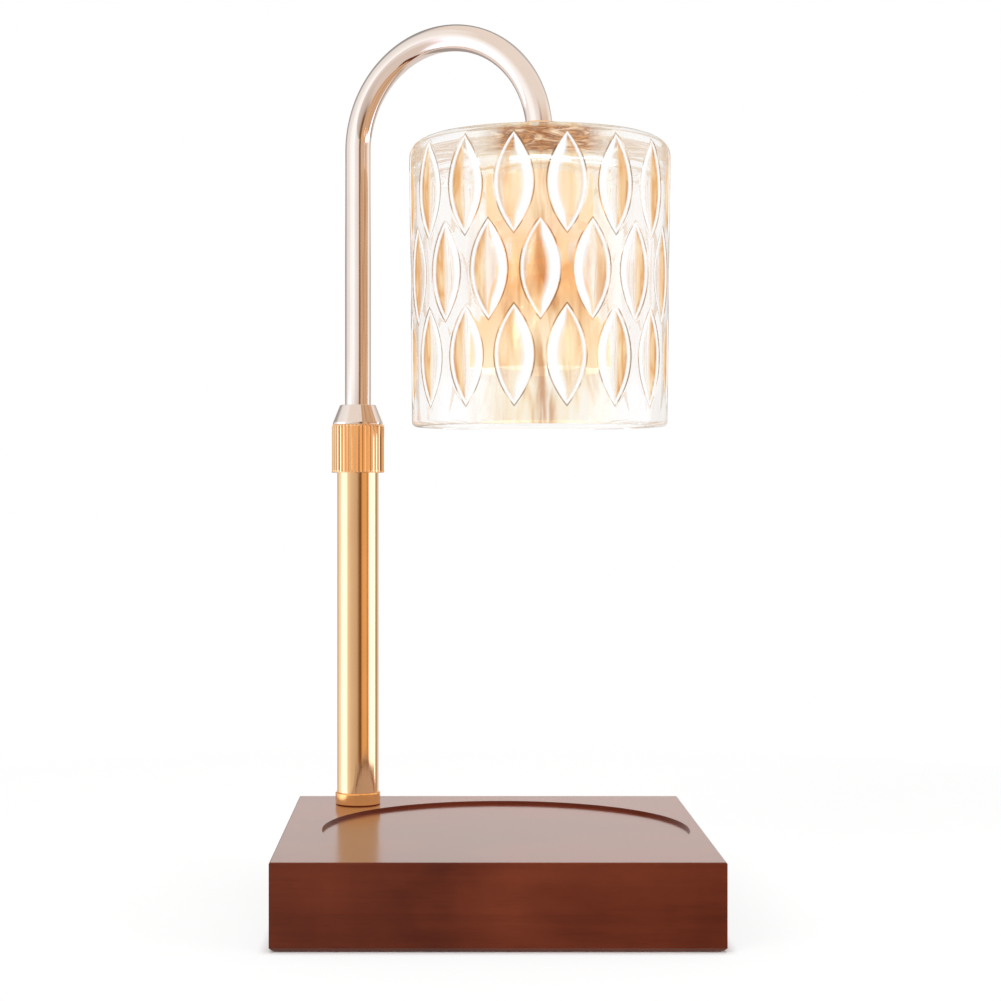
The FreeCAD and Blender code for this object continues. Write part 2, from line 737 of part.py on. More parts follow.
def make_nut_sleeve():
    body = turned("nut_sleeve", [("skirt_bore", "nut_bottom"), ("nut_radius - nut_chamfer", "nut_bottom"),
                                 ("nut_radius", "nut_bottom + nut_chamfer"),
                                 ("nut_radius", "nut_top - nut_chamfer"),
                                 ("nut_radius - nut_chamfer", "nut_top"),
                                 ("cone_spigot_radius + running_fit", "nut_top"),
                                 ("cone_spigot_radius + running_fit", "lip_top"), ("cone_bore", "lip_top"),
                                 ("cone_bore", "lip_bottom"), ("pocket_radius", "lip_bottom"),
                                 ("pocket_radius", "pocket_bottom"), ("thread_radius", "pocket_bottom"),
                                 ("thread_radius", "thread_bottom"), ("skirt_bore", "thread_bottom")],
                  "column_x", "column_y")
    flare = "2 * knurl_share * pi * nut_radius / knurl_count"
    flute = [("nut_radius - knurl_depth", "0"), ("nut_radius + knurl_depth", flare),
             ("nut_radius + knurl_depth", "-" + flare)]
    feature = padded(body, "flute", lambda sketch: draw_outline(sketch, flute), "nut_bottom + knurl_margin",
                     "nut_length - 2 * knurl_margin", cut=True)
    repeated(body, "knurl", feature, "knurl_count")


def make_nut_cone():
    turned("nut_cone", [("cone_bore", "lip_top"), ("cone_spigot_radius", "lip_top"),
                        ("cone_spigot_radius", "nut_top"), ("cone_radius", "nut_top"),
                        ("cone_radius", "nut_top + cone_land"), ("cone_top_radius", "nut_top + cone_height"),
                        ("cone_bore", "nut_top + cone_height")], "column_x", "column_y")


# The gooseneck arm, guided in the column by a bush between two rings
def gooseneck_path(sketch, start, drop=None):
    """Straight up from start, half a turn over, then straight down to drop."""
    low, high, bend = value(start), value("bend_height"), value("bend_radius")
    sketch.addGeometry(Part.LineSegment(Vector(0, low, 0), Vector(0, high, 0)), False)
    arc = Part.ArcOfCircle(Part.Circle(Vector(bend, high, 0), Vector(0, 0, 1), bend), 0, pi)
    sketch.addGeometry(arc, False)
    sketch.addConstraint(Sketcher.Constraint("Tangent", 0, 2, 1, 2))
    fix_point(sketch, 0, 1, "0", start)
    fix_point(sketch, 0, 2, "0", "bend_height")
    fix_point(sketch, 1, 1, "2 * bend_radius", "bend_height")
    if drop is None:
        return 2
    end = Vector(2 * bend, value(drop), 0)
    sketch.addGeometry(Part.LineSegment(Vector(2 * bend, high, 0), end), False)
    sketch.addConstraint(Sketcher.Constraint("Coincident", 1, 1, 2, 1))
    fix_point(sketch, 2, 2, "2 * bend_radius", drop)
    return 3


def make_arm():
    at = ("column_x", "column_y")
    pipe("arm_tube", ["arm_radius", "arm_bore"], "arm_bottom",
         lambda sketch: gooseneck_path(sketch, "arm_bottom"), *at, turn="-arm_turn")
    pipe("arm_lead", ["lead_radius"], "lead_bottom",
         lambda sketch: gooseneck_path(sketch, "lead_bottom", "sheath_end"), *at, turn="-arm_turn")
    ring("arm_end_ring", "arm_radius + running_fit", "end_ring_radius",
         "arm_bottom", "arm_bottom + end_ring_height", *at)
    ring("arm_snap_ring", "arm_radius + running_fit", "snap_ring_radius",
         "bush_top + seat_gap", "bush_top + seat_gap + snap_ring_height", *at)
    land, waist = "column_bore - running_fit", "column_bore - running_fit - bush_relief"
    turned("guide_bush", [("arm_radius + running_fit", "bush_bottom"), (land, "bush_bottom"),
                          (land, "bush_bottom + bush_land"), (waist, "bush_bottom + bush_land + bush_relief"),
                          (waist, "bush_top - bush_land - bush_relief"), (land, "bush_top - bush_land"),
                          (land, "bush_top"), ("arm_radius + running_fit", "bush_top")], *at)


# What clamps the shade to the arm's end
def make_shade_clamp():
    at = ("shade_x", "shade_y")
    turned("top_cap", [("nipple_hole", "cap_bottom"), ("cap_radius", "cap_bottom"),
                       ("cap_radius", "cap_bottom + cap_edge"), ("cap_boss_radius", "bend_height"),
                       ("cap_boss_radius", "nipple_top - cap_chamfer"),
                       ("cap_boss_radius - cap_chamfer", "nipple_top"),
                       ("cap_socket", "nipple_top"), ("cap_socket", "bend_height"),
                       ("nipple_hole", "bend_height")], *at)
    ring("cap_nipple", "nipple_bore", "nipple_radius", "nipple_bottom", "nipple_top", *at)
    ring("upper_gasket", "shade_hole_radius", "gasket_radius", "shade_top", "cap_bottom", *at)
    collar = "shade_hole_radius - running_fit"
    turned("shade_bush", [("nipple_hole", "cup_top"), ("bush_flange_radius", "cup_top"),
                          ("bush_flange_radius", "ceiling"), (collar, "ceiling"),
                          (collar, "ceiling + bush_collar"), ("nipple_hole", "ceiling + bush_collar")], *at)
    cup = turned("socket_cup", [("nipple_hole", "bracket_top"), ("cup_radius - cup_wall", "bracket_top"),
                                ("cup_radius - cup_wall", "cup_bottom"), ("cup_radius", "cup_bottom"),
                                ("cup_radius", "cup_top"), ("nipple_hole", "cup_top")], *at)
    dress(cup, "Fillet", "outer_round", circle_edges(cup.Shape, value("cup_radius"), value("cup_top")),
          "cup_round")
    inner = circle_edges(cup.Shape, value("cup_radius - cup_wall"), value("bracket_top"))
    dress(cup, "Fillet", "inner_round", inner, "cup_round - cup_wall")
    ring("lock_washer", "nipple_hole", "lock_washer_radius", "nipple_nut_top", "lock_washer_top", *at)
    hex_nut("nipple_nut", "nipple_nut_flats", "nipple_hole", "nipple_nut_bottom", "nipple_nut_height", *at)


# The pressed glass shade, with staggered rows of pointed ovals ground into its wall by a V-edged wheel
def grind_row(body, row):
    """One row of cuts. The wheel's axis is level and tangential, so the cut is deepest at mid-height."""
    name = "row_%d" % (row + 1)
    level = "shade_top - cut_first_row - %d * cut_row_pitch" % row
    radius = ("shade_bottom_radius + (shade_top_radius - shade_bottom_radius)"
              " * (%s - shade_bottom) / shade_height" % level)
    valley = "(%s) - cut_depth" % radius
    flare = "2 * (sqrt((%s)^2 - cut_width^2 / 4) - (%s))" % (radius, valley)
    axle = "%s + wheel_radius" % valley
    sketch = new_sketch(body, "XY_Plane", name + "_wheel", level)
    draw_outline(sketch, [("0", "-(%s)" % valley), ("-cut_width", "-(%s) - %s" % (valley, flare)),
                          ("cut_width", "-(%s) - %s" % (valley, flare))])
    line = sketch.GeometryCount
    ends = [Vector(side * value("cut_width"), -value(axle), 0) for side in (-1, 1)]
    sketch.addGeometry(Part.LineSegment(*ends), True)
    sketch.addConstraint(Sketcher.Constraint("Horizontal", line))
    fix_point(sketch, line, 1, "-cut_width", "-(%s)" % axle)
    turn = "cut_turn + %d * 180 / cuts_per_row" % (row % 2)
    sketch.AttachmentOffset = Placement(sketch.AttachmentOffset.Base, Rotation(Vector(0, 0, 1), 1))
    sketch.setExpression("AttachmentOffset.Rotation.Angle", formula(turn))
    groove = body.newObject("PartDesign::Groove", name + "_cut")
    groove.Profile = sketch
    groove.ReferenceAxis = (sketch, ["Axis0"])
    groove.Angle = 360
    doc.recompute()
    repeated(body, name, groove, "cuts_per_row")


def make_glass_shade():
    inner_top, inner_bottom = "shade_top_radius - shade_wall", "shade_bottom_radius - shade_wall"
    body = turned("glass_shade", [("shade_hole_radius", "shade_top"), ("shade_top_radius", "shade_top"),
                                  ("shade_bottom_radius", "shade_bottom"), (inner_bottom, "shade_bottom"),
                                  (inner_top, "ceiling"), ("shade_hole_radius", "ceiling")],
                  "shade_x", "shade_y")
    rounds = (("shoulder", "shade_top_radius", "shade_top", "shade_shoulder"),
              ("inner_corner", inner_top, "ceiling", "shade_inner_round"),
              ("outer_rim", "shade_bottom_radius", "shade_bottom", "shade_rim_round"),
              ("inner_rim", inner_bottom, "shade_bottom", "shade_rim_round"))
    for name, radius, height, size in rounds:
        dress(body, "Fillet", name, circle_edges(body.Shape, value(radius), value(height)), size)
    for row in range(int(value("cut_rows"))):
        grind_row(body, row)


# The lampholder under its bracket, inside the cup
def make_holder_bracket():
    body = new_body("holder_bracket", "shade_x", "shade_y")
    inside = "bracket_half_span - bracket_thickness"
    half = [("bracket_half_span", "bracket_top"), ("bracket_half_span", "holder_top"),
            ("bracket_foot", "holder_top"), ("bracket_foot", "foot_top"), (inside, "foot_top"),
            (inside, "lock_washer_top")]
    strap = half + [("-(%s)" % x, z) for x, z in reversed(half)]
    padded(body, "strap", lambda sketch: draw_outline(sketch, strap), "-bracket_width / 2", "bracket_width",
           role="XZ_Plane")
    padded(body, "nipple_hole", circle_at("nipple_hole"), "lock_washer_top", "bracket_thickness", cut=True)
    for side in ("", "-"):
        padded(body, "foot_hole" + side, circle_at("holder_screw_radius + running_fit",
                                                   side + "holder_screw_distance"),
               "holder_top", "bracket_thickness", cut=True)


def make_holder_screws():
    screws = []
    for number, side in enumerate(("+", "-"), start=1):
        x = "shade_x %s holder_screw_distance" % side
        head = cylinder("holder_screw_head_%d" % number, "holder_screw_head_radius", "foot_top",
                        "holder_screw_head_height", x, "shade_y")
        shank = cylinder("holder_screw_shank_%d" % number, "holder_screw_radius",
                         "foot_top - holder_screw_length", "holder_screw_length", x, "shade_y")
        screws.append(fused("holder_screw_%d" % number, [head, shank]))
    group("holder_screws", screws)


def arc_slot(name, half_width, bottom, length, side):
    """A slot for one pin: it runs from the locked place back through the twist, about the bulb's axis."""
    start = "-pin_twist + %d" % side
    sector = cylinder(name + "_sector", "pin_distance + %s" % half_width, bottom, length,
                      "shade_x", "shade_y", turn=start)
    bind(sector, Angle="pin_twist")
    core = cylinder(name + "_core", "pin_distance - %s" % half_width, bottom, length, "shade_x", "shade_y")
    ends = [cylinder(name + "_end_%d" % number, half_width, bottom, length,
                     "shade_x + pin_distance * cos(%s)" % angle, "shade_y + pin_distance * sin(%s)" % angle)
            for number, angle in enumerate((start, "%d" % side), start=1)]
    return fused(name, [cut(name + "_arc", sector, [core])] + ends)


def make_lamp_holder():
    tools = []
    for side in (0, 180):
        name = "slot_%d" % side
        way_in = "-pin_twist + %d" % side
        tools.append(arc_slot(name + "_chamber", "slot_radius", "chamber_bottom",
                              "chamber_top - chamber_bottom", side))
        tools.append(arc_slot(name + "_mouth", "mouth_radius", "holder_bottom", "slot_mouth", side))
        tools.append(cylinder(name + "_entry", "slot_radius", "holder_bottom", "slot_mouth",
                              "shade_x + pin_distance * cos(%s)" % way_in,
                              "shade_y + pin_distance * sin(%s)" % way_in))
    depth = "holder_screw_length - bracket_thickness + loose_fit"
    for number, side in enumerate(("+", "-"), start=1):
        tools.append(cylinder("holder_hole_%d" % number, "holder_screw_radius + running_fit",
                              "holder_top - (%s)" % depth, depth,
                              "shade_x %s holder_screw_distance" % side, "shade_y"))
    rim = cone("holder_rim", "holder_radius - holder_chamfer", "holder_radius", "holder_bottom",
               "holder_chamfer", "shade_x", "shade_y")
    drum = cylinder("holder_drum", "holder_radius", "holder_bottom + holder_chamfer",
                    "holder_height - holder_chamfer", "shade_x", "shade_y")
    keep(cut("lamp_holder", fused("holder_blank", [rim, drum]), tools), "lamp_holder")


def make_holder_contacts():
    group("holder_contacts", [box("contact_%d" % number, "contact_width", "contact_width",
                                  "contact_thickness", "shade_x %s pin_distance" % side, "shade_y",
                                  "contact_bottom")
                              for number, side in enumerate(("+", "-"), start=1)])
    group("holder_wires", [cylinder("wire_%d" % number, "wire_radius", "holder_top", "wire_length",
                                    "shade_x %s wire_distance" % side, "shade_y")
                           for number, side in enumerate(("+", "-"), start=1)])


# The reflector bulb, which twists into the lampholder
def make_bulb_base():
    spigot = "bulb_neck_bore - running_fit"
    turned("bulb_base", [("0", "bulb_base_bottom - bulb_spigot"), (spigot, "bulb_base_bottom - bulb_spigot"),
                         (spigot, "bulb_base_bottom"), ("bulb_neck_radius", "bulb_base_bottom"),
                         ("bulb_neck_radius", "bulb_base_bottom + bulb_neck_height"),
                         ("bulb_base_radius", "bulb_base_bottom + bulb_taper_top"),
                         ("bulb_base_radius", "bulb_top"), ("0", "bulb_top")], "shade_x", "shade_y")


def make_bulb_pins():
    pins = []
    for number, side in enumerate(("+", "-"), start=1):
        x = "shade_x %s pin_distance" % side
        stem = cylinder("pin_stem_%d" % number, "pin_radius", "bulb_top", "pin_length", x, "shade_y")
        head = cylinder("pin_head_%d" % number, "pin_head_radius", "pin_top - pin_head_height",
                        "pin_head_height", x, "shade_y")
        pins.append(fused("bulb_pin_%d" % number, [stem, head]))
    group("bulb_pins", pins)


def bowl(name, shrink):
    """The upper half of an ellipsoid, smaller by shrink on every side."""
    solid = doc.addObject("Part::Ellipsoid", name)
    solid.Angle1 = 0
    bind(solid, Radius1="reflector_depth - %s" % shrink, Radius2="reflector_radius - %s" % shrink)
    return place(solid, "shade_x", "shade_y", "lip_level")


def make_bulb_reflector():
    at = ("shade_x", "shade_y")
    outer = fused("reflector_outer", [bowl("reflector_bowl", "0"),
                                      cylinder("reflector_lip", "reflector_radius", "reflector_bottom",
                                               "reflector_lip", *at)])
    tools = [bowl("reflector_hollow", "reflector_wall"),
             cylinder("reflector_mouth", "reflector_radius - reflector_wall", "reflector_bottom",
                      "reflector_lip", *at),
             cylinder("reflector_top_trim", "reflector_radius", "bulb_base_bottom", "reflector_depth", *at),
             cylinder("reflector_neck", "bulb_neck_bore", "lip_level", "reflector_depth", *at)]
    reflector = cut("bulb_reflector", outer, tools)
    keep(reflector, "bulb_reflector")
    lens_radius = "reflector_radius - reflector_wall - running_fit"
    turned("bulb_lens", [("0", "reflector_bottom"), (lens_radius, "reflector_bottom"),
                         (lens_radius, "lens_top"), ("0", "lens_top")], *at)
    tube = cylinder("capsule_tube", "capsule_radius", "capsule_tip", "capsule_length - capsule_radius", *at)
    tip = doc.addObject("Part::Sphere", "capsule_tip_dome")
    bind(tip, Radius="capsule_radius")
    place(tip, "shade_x", "shade_y", "capsule_tip")
    keep(fused("bulb_capsule", [tube, tip]), "bulb_capsule")


def check_document():
    """Stops if any object failed or any node's shape is missing or broken."""
    failed = [thing.Name for thing in doc.Objects if "Invalid" in thing.State or "Error" in thing.State]
    if failed:
        raise RuntimeError("failed objects: " + ", ".join(failed))
    for node in nodes:
        if node.Shape.isNull() or not node.Shape.isValid() or not node.Shape.Solids:
            raise RuntimeError("no good shape: " + node.Label)


def check_pipe(label, section, length):
    """Prints how a swept piece's volume compares with its section times its length."""
    shape = [node for node in nodes if node.Label == label][0].Shape
    print("%s volume ratio %.4f" % (label, shape.Volume / (section * length)))


def write_nodes():
    os.makedirs("parts", exist_ok=True)
    for node in nodes:
        node.Shape.exportStep("parts/%s.step" % node.Label)
    print("wrote %d nodes" % len(nodes))


make_wood_base()
make_bottom_plate()
make_plate_screws()
make_foot_pads()
make_cord_grommet()
make_terminal_block()
make_terminal_sleeves()
make_column()
make_leads_in_base()
make_collet()
make_nut_sleeve()
make_nut_cone()
make_arm()
make_shade_clamp()
make_glass_shade()
make_holder_bracket()
make_holder_screws()
make_lamp_holder()
make_holder_contacts()
make_bulb_base()
make_bulb_pins()
make_bulb_reflector()
doc.recompute()
check_document()
arm_section = pi * (value("arm_radius") ** 2 - value("arm_bore") ** 2)
check_pipe("arm_tube", arm_section, value("bend_height - arm_bottom") + pi * value("bend_radius"))
write_nodes()
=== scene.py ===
import json
import bmesh
import bpy
import numpy as np
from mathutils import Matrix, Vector


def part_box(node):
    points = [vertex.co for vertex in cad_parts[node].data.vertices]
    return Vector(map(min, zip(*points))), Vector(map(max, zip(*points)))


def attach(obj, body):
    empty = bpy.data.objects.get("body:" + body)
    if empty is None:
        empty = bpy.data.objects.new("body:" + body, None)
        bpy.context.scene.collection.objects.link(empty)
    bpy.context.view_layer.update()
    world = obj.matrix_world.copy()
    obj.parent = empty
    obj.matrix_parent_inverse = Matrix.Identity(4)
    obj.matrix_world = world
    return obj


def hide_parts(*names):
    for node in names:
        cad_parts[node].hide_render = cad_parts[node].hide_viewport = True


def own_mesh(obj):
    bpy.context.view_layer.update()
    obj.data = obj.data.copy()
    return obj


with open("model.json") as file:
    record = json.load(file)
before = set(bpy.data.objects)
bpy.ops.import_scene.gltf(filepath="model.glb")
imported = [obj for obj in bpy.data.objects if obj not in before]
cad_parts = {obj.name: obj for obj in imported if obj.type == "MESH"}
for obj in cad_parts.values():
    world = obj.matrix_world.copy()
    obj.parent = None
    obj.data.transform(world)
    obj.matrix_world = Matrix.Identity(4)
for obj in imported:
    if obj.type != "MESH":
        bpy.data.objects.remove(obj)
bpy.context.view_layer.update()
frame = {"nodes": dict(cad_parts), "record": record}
nodes = frame["nodes"]
slotOf = {part["node"]: part["material_slot"] for part in frame["record"]["subparts"]}
print("frame loaded:", len(nodes), "nodes")

mm = 0.001


def middle(node):
    low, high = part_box(node)
    return [(low[i] + high[i]) / 2 for i in range(3)]


def bottom(node):
    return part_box(node)[0][2]


def top(node):
    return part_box(node)[1][2]


def radiusOf(node):
    low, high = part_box(node)
    return (high[0] - low[0]) / 2


columnAxis = middle("column_tube")[:2]
shadeAxis = middle("glass_shade")[:2]


# camera at the photograph's viewing angle, level, a little left of the column
camera = {"lens": 76.24, "place": (-0.018, -0.7678, 0.1523), "shiftX": 0.0574, "shiftY": -0.0135, "clipStart": 0.01}

cameraData = bpy.data.cameras.new("camera")
cameraData.lens = camera["lens"]
cameraData.shift_x = camera["shiftX"]
cameraData.shift_y = camera["shiftY"]
cameraData.clip_start = camera["clipStart"]
cameraObject = bpy.data.objects.new("camera", cameraData)
cameraObject.location = camera["place"]
cameraObject.rotation_euler = (np.pi / 2, 0, 0)
bpy.context.collection.objects.link(cameraObject)
bpy.context.scene.camera = cameraObject
bpy.context.scene.view_settings.view_transform = "Standard"
print("camera set")


# short names for building node trees
class Tree:
    def __init__(self, tree):
        self.tree = tree
        tree.nodes.clear()

    def add(self, kind, *inputs, **settings):
        node = self.tree.nodes.new(kind)
        for name, value in settings.items():
            setattr(node, name, value)
        for index, value in enumerate(inputs):
            self.feed(node, index, value)
        return node

    def feed(self, node, socket, value):
        if value is None:
            return
        if isinstance(value, bpy.types.NodeSocket):
            self.tree.links.new(value, node.inputs[socket])
        elif isinstance(value, bpy.types.Node):
            self.tree.links.new(value.outputs[0], node.inputs[socket])
        else:
            node.inputs[socket].default_value = value

    def math(self, operation, a, b=None):
        return self.add("ShaderNodeMath", a, b, operation=operation).outputs[0]

    def objectPoint(self, scale=(1, 1, 1)):
        point = self.add("ShaderNodeTexCoord").outputs["Object"]
        mapping = self.add("ShaderNodeMapping")
        self.feed(mapping, "Vector", point)
        self.feed(mapping, "Scale", scale)
        return mapping.outputs[0]

    def noise(self, point, scale, detail=3.0, roughness=0.55, distortion=0.0):
        node = self.add("ShaderNodeTexNoise")
        self.feed(node, "Vector", point)
        self.feed(node, "Scale", scale)
        self.feed(node, "Detail", detail)
        self.feed(node, "Roughness", roughness)
        self.feed(node, "Distortion", distortion)
        return node.outputs["Fac"]

    def ramp(self, fac, stops):
        node = self.add("ShaderNodeValToRGB", fac)
        elements = node.color_ramp.elements
        for index, (place, color) in enumerate(stops):
            element = elements[index] if index < len(elements) else elements.new(place)
            element.position = place
            element.color = (*color, 1)
        return node.outputs[0]

    def span(self, fac, low, high):
        return self.between(fac, 0.0, 1.0, low, high)

    # goes from low to high while value goes from start to end
    def between(self, value, start, end, low, high):
        return self.add("ShaderNodeMapRange", value, start, end, low, high).outputs[0]

    # rises from a to b, stays at most, and falls from c to d
    def window(self, value, a, b, c, d, most):
        return self.math("MINIMUM", self.between(value, a, b, 0.0, most), self.between(value, c, d, most, 0.0))

    def blend(self, amount, first, second, kind="MIX"):
        node = self.add("ShaderNodeMix", data_type="RGBA", blend_type=kind)
        self.feed(node, 0, amount)
        self.feed(node, 6, first)
        self.feed(node, 7, second)
        return node.outputs[2]

    def bump(self, shader, height, strength, distance):
        node = self.add("ShaderNodeBump")
        self.feed(node, "Strength", strength)
        self.feed(node, "Distance", distance)
        self.feed(node, "Height", height)
        self.feed(shader, "Normal", node.outputs[0])


# the tree's output is kept with it, for surfaces that mix more than the one shader
def newMaterial(name):
    material = bpy.data.materials.new(name)
    material.use_nodes = True
    tree = Tree(material.node_tree)
    shader = tree.add("ShaderNodeBsdfPrincipled")
    tree.output = tree.add("ShaderNodeOutputMaterial", shader)
    return material, tree, shader


def shade(color, factor):
    return tuple(min(1.0, channel * factor) for channel in color)


# lacquered mahogany: soft cloudy figure, faint long grain, fine pores and a satin coat that veils it at a slant
def makeWood():
    wood = {"tones": [(0.36, (0.078, 0.0130, 0.0045)), (0.5, (0.116, 0.0220, 0.0075)), (0.64, (0.158, 0.0330, 0.0120))],
            "figure": (10, 26, 20), "mottle": (26, 26, 14), "grain": (8, 260, 260), "pores": (110, 1700, 1700),
            "figureShare": 0.5, "mottleShare": 0.35, "grainShare": 0.15,
            "poreTones": [(0.34, (0.80, 0.76, 0.74)), (0.46, (1, 1, 1))], "poreCover": 0.45,
            "roughness": (0.40, 0.53), "specular": 0.04,
            "coat": 1.0, "coatIor": 1.3, "coatRoughness": 0.20, "coatTint": (1.0, 0.86, 0.80),
            "bump": 0.08, "poreDepth": 0.0002}
    material, tree, shader = newMaterial("lacquered_mahogany")
    figure = tree.noise(tree.objectPoint(wood["figure"]), 1.0, 4.0, 0.5, 1.2)
    mottle = tree.noise(tree.objectPoint(wood["mottle"]), 1.0, 3.0, 0.5, 0.4)
    grain = tree.noise(tree.objectPoint(wood["grain"]), 1.0, 3.0, 0.55, 0.4)
    pores = tree.noise(tree.objectPoint(wood["pores"]), 1.0, 2.0, 0.6)
    both = tree.math("ADD", tree.math("MULTIPLY", figure, wood["figureShare"]),
                     tree.math("MULTIPLY", mottle, wood["mottleShare"]))
    both = tree.math("ADD", both, tree.math("MULTIPLY", grain, wood["grainShare"]))
    streak = tree.ramp(pores, wood["poreTones"])
    tree.feed(shader, "Base Color", tree.blend(wood["poreCover"], tree.ramp(both, wood["tones"]), streak, "MULTIPLY"))
    tree.feed(shader, "Roughness", tree.span(mottle, *wood["roughness"]))
    shader.inputs["Specular IOR Level"].default_value = wood["specular"]
    shader.inputs["Coat Weight"].default_value = wood["coat"]
    shader.inputs["Coat IOR"].default_value = wood["coatIor"]
    shader.inputs["Coat Roughness"].default_value = wood["coatRoughness"]
    shader.inputs["Coat Tint"].default_value = (*wood["coatTint"], 1)
    tree.bump(shader, pores, wood["bump"], wood["poreDepth"])
    return material


# one recipe for metals, plastics, rubber and ceramic: cloudy colour, uneven gloss and a fine surface
def makeFinish(name, color, metallic, roughness, scale, variation, bumpStrength, subsurface=0.0):
    finish = {"cloudScale": 0.15, "grainScale": 4, "glossiest": 0.8, "dullest": 1.25, "grainDepth": 0.0001,
              "subsurfaceRadius": (0.004, 0.003, 0.002)}
    material, tree, shader = newMaterial(name)
    point = tree.objectPoint()
    cloud = tree.noise(point, scale * finish["cloudScale"], 3.0)
    grain = tree.noise(point, scale * finish["grainScale"], 2.0)
    tree.feed(shader, "Base Color", tree.ramp(cloud, [(0.3, shade(color, 1 - variation)),
                                                      (0.7, shade(color, 1 + variation))]))
    tree.feed(shader, "Roughness", tree.span(cloud, roughness * finish["glossiest"], roughness * finish["dullest"]))
    shader.inputs["Metallic"].default_value = metallic
    shader.inputs["Subsurface Weight"].default_value = subsurface
    shader.inputs["Subsurface Radius"].default_value = finish["subsurfaceRadius"]
    tree.bump(shader, grain, bumpStrength, finish["grainDepth"])
    return material


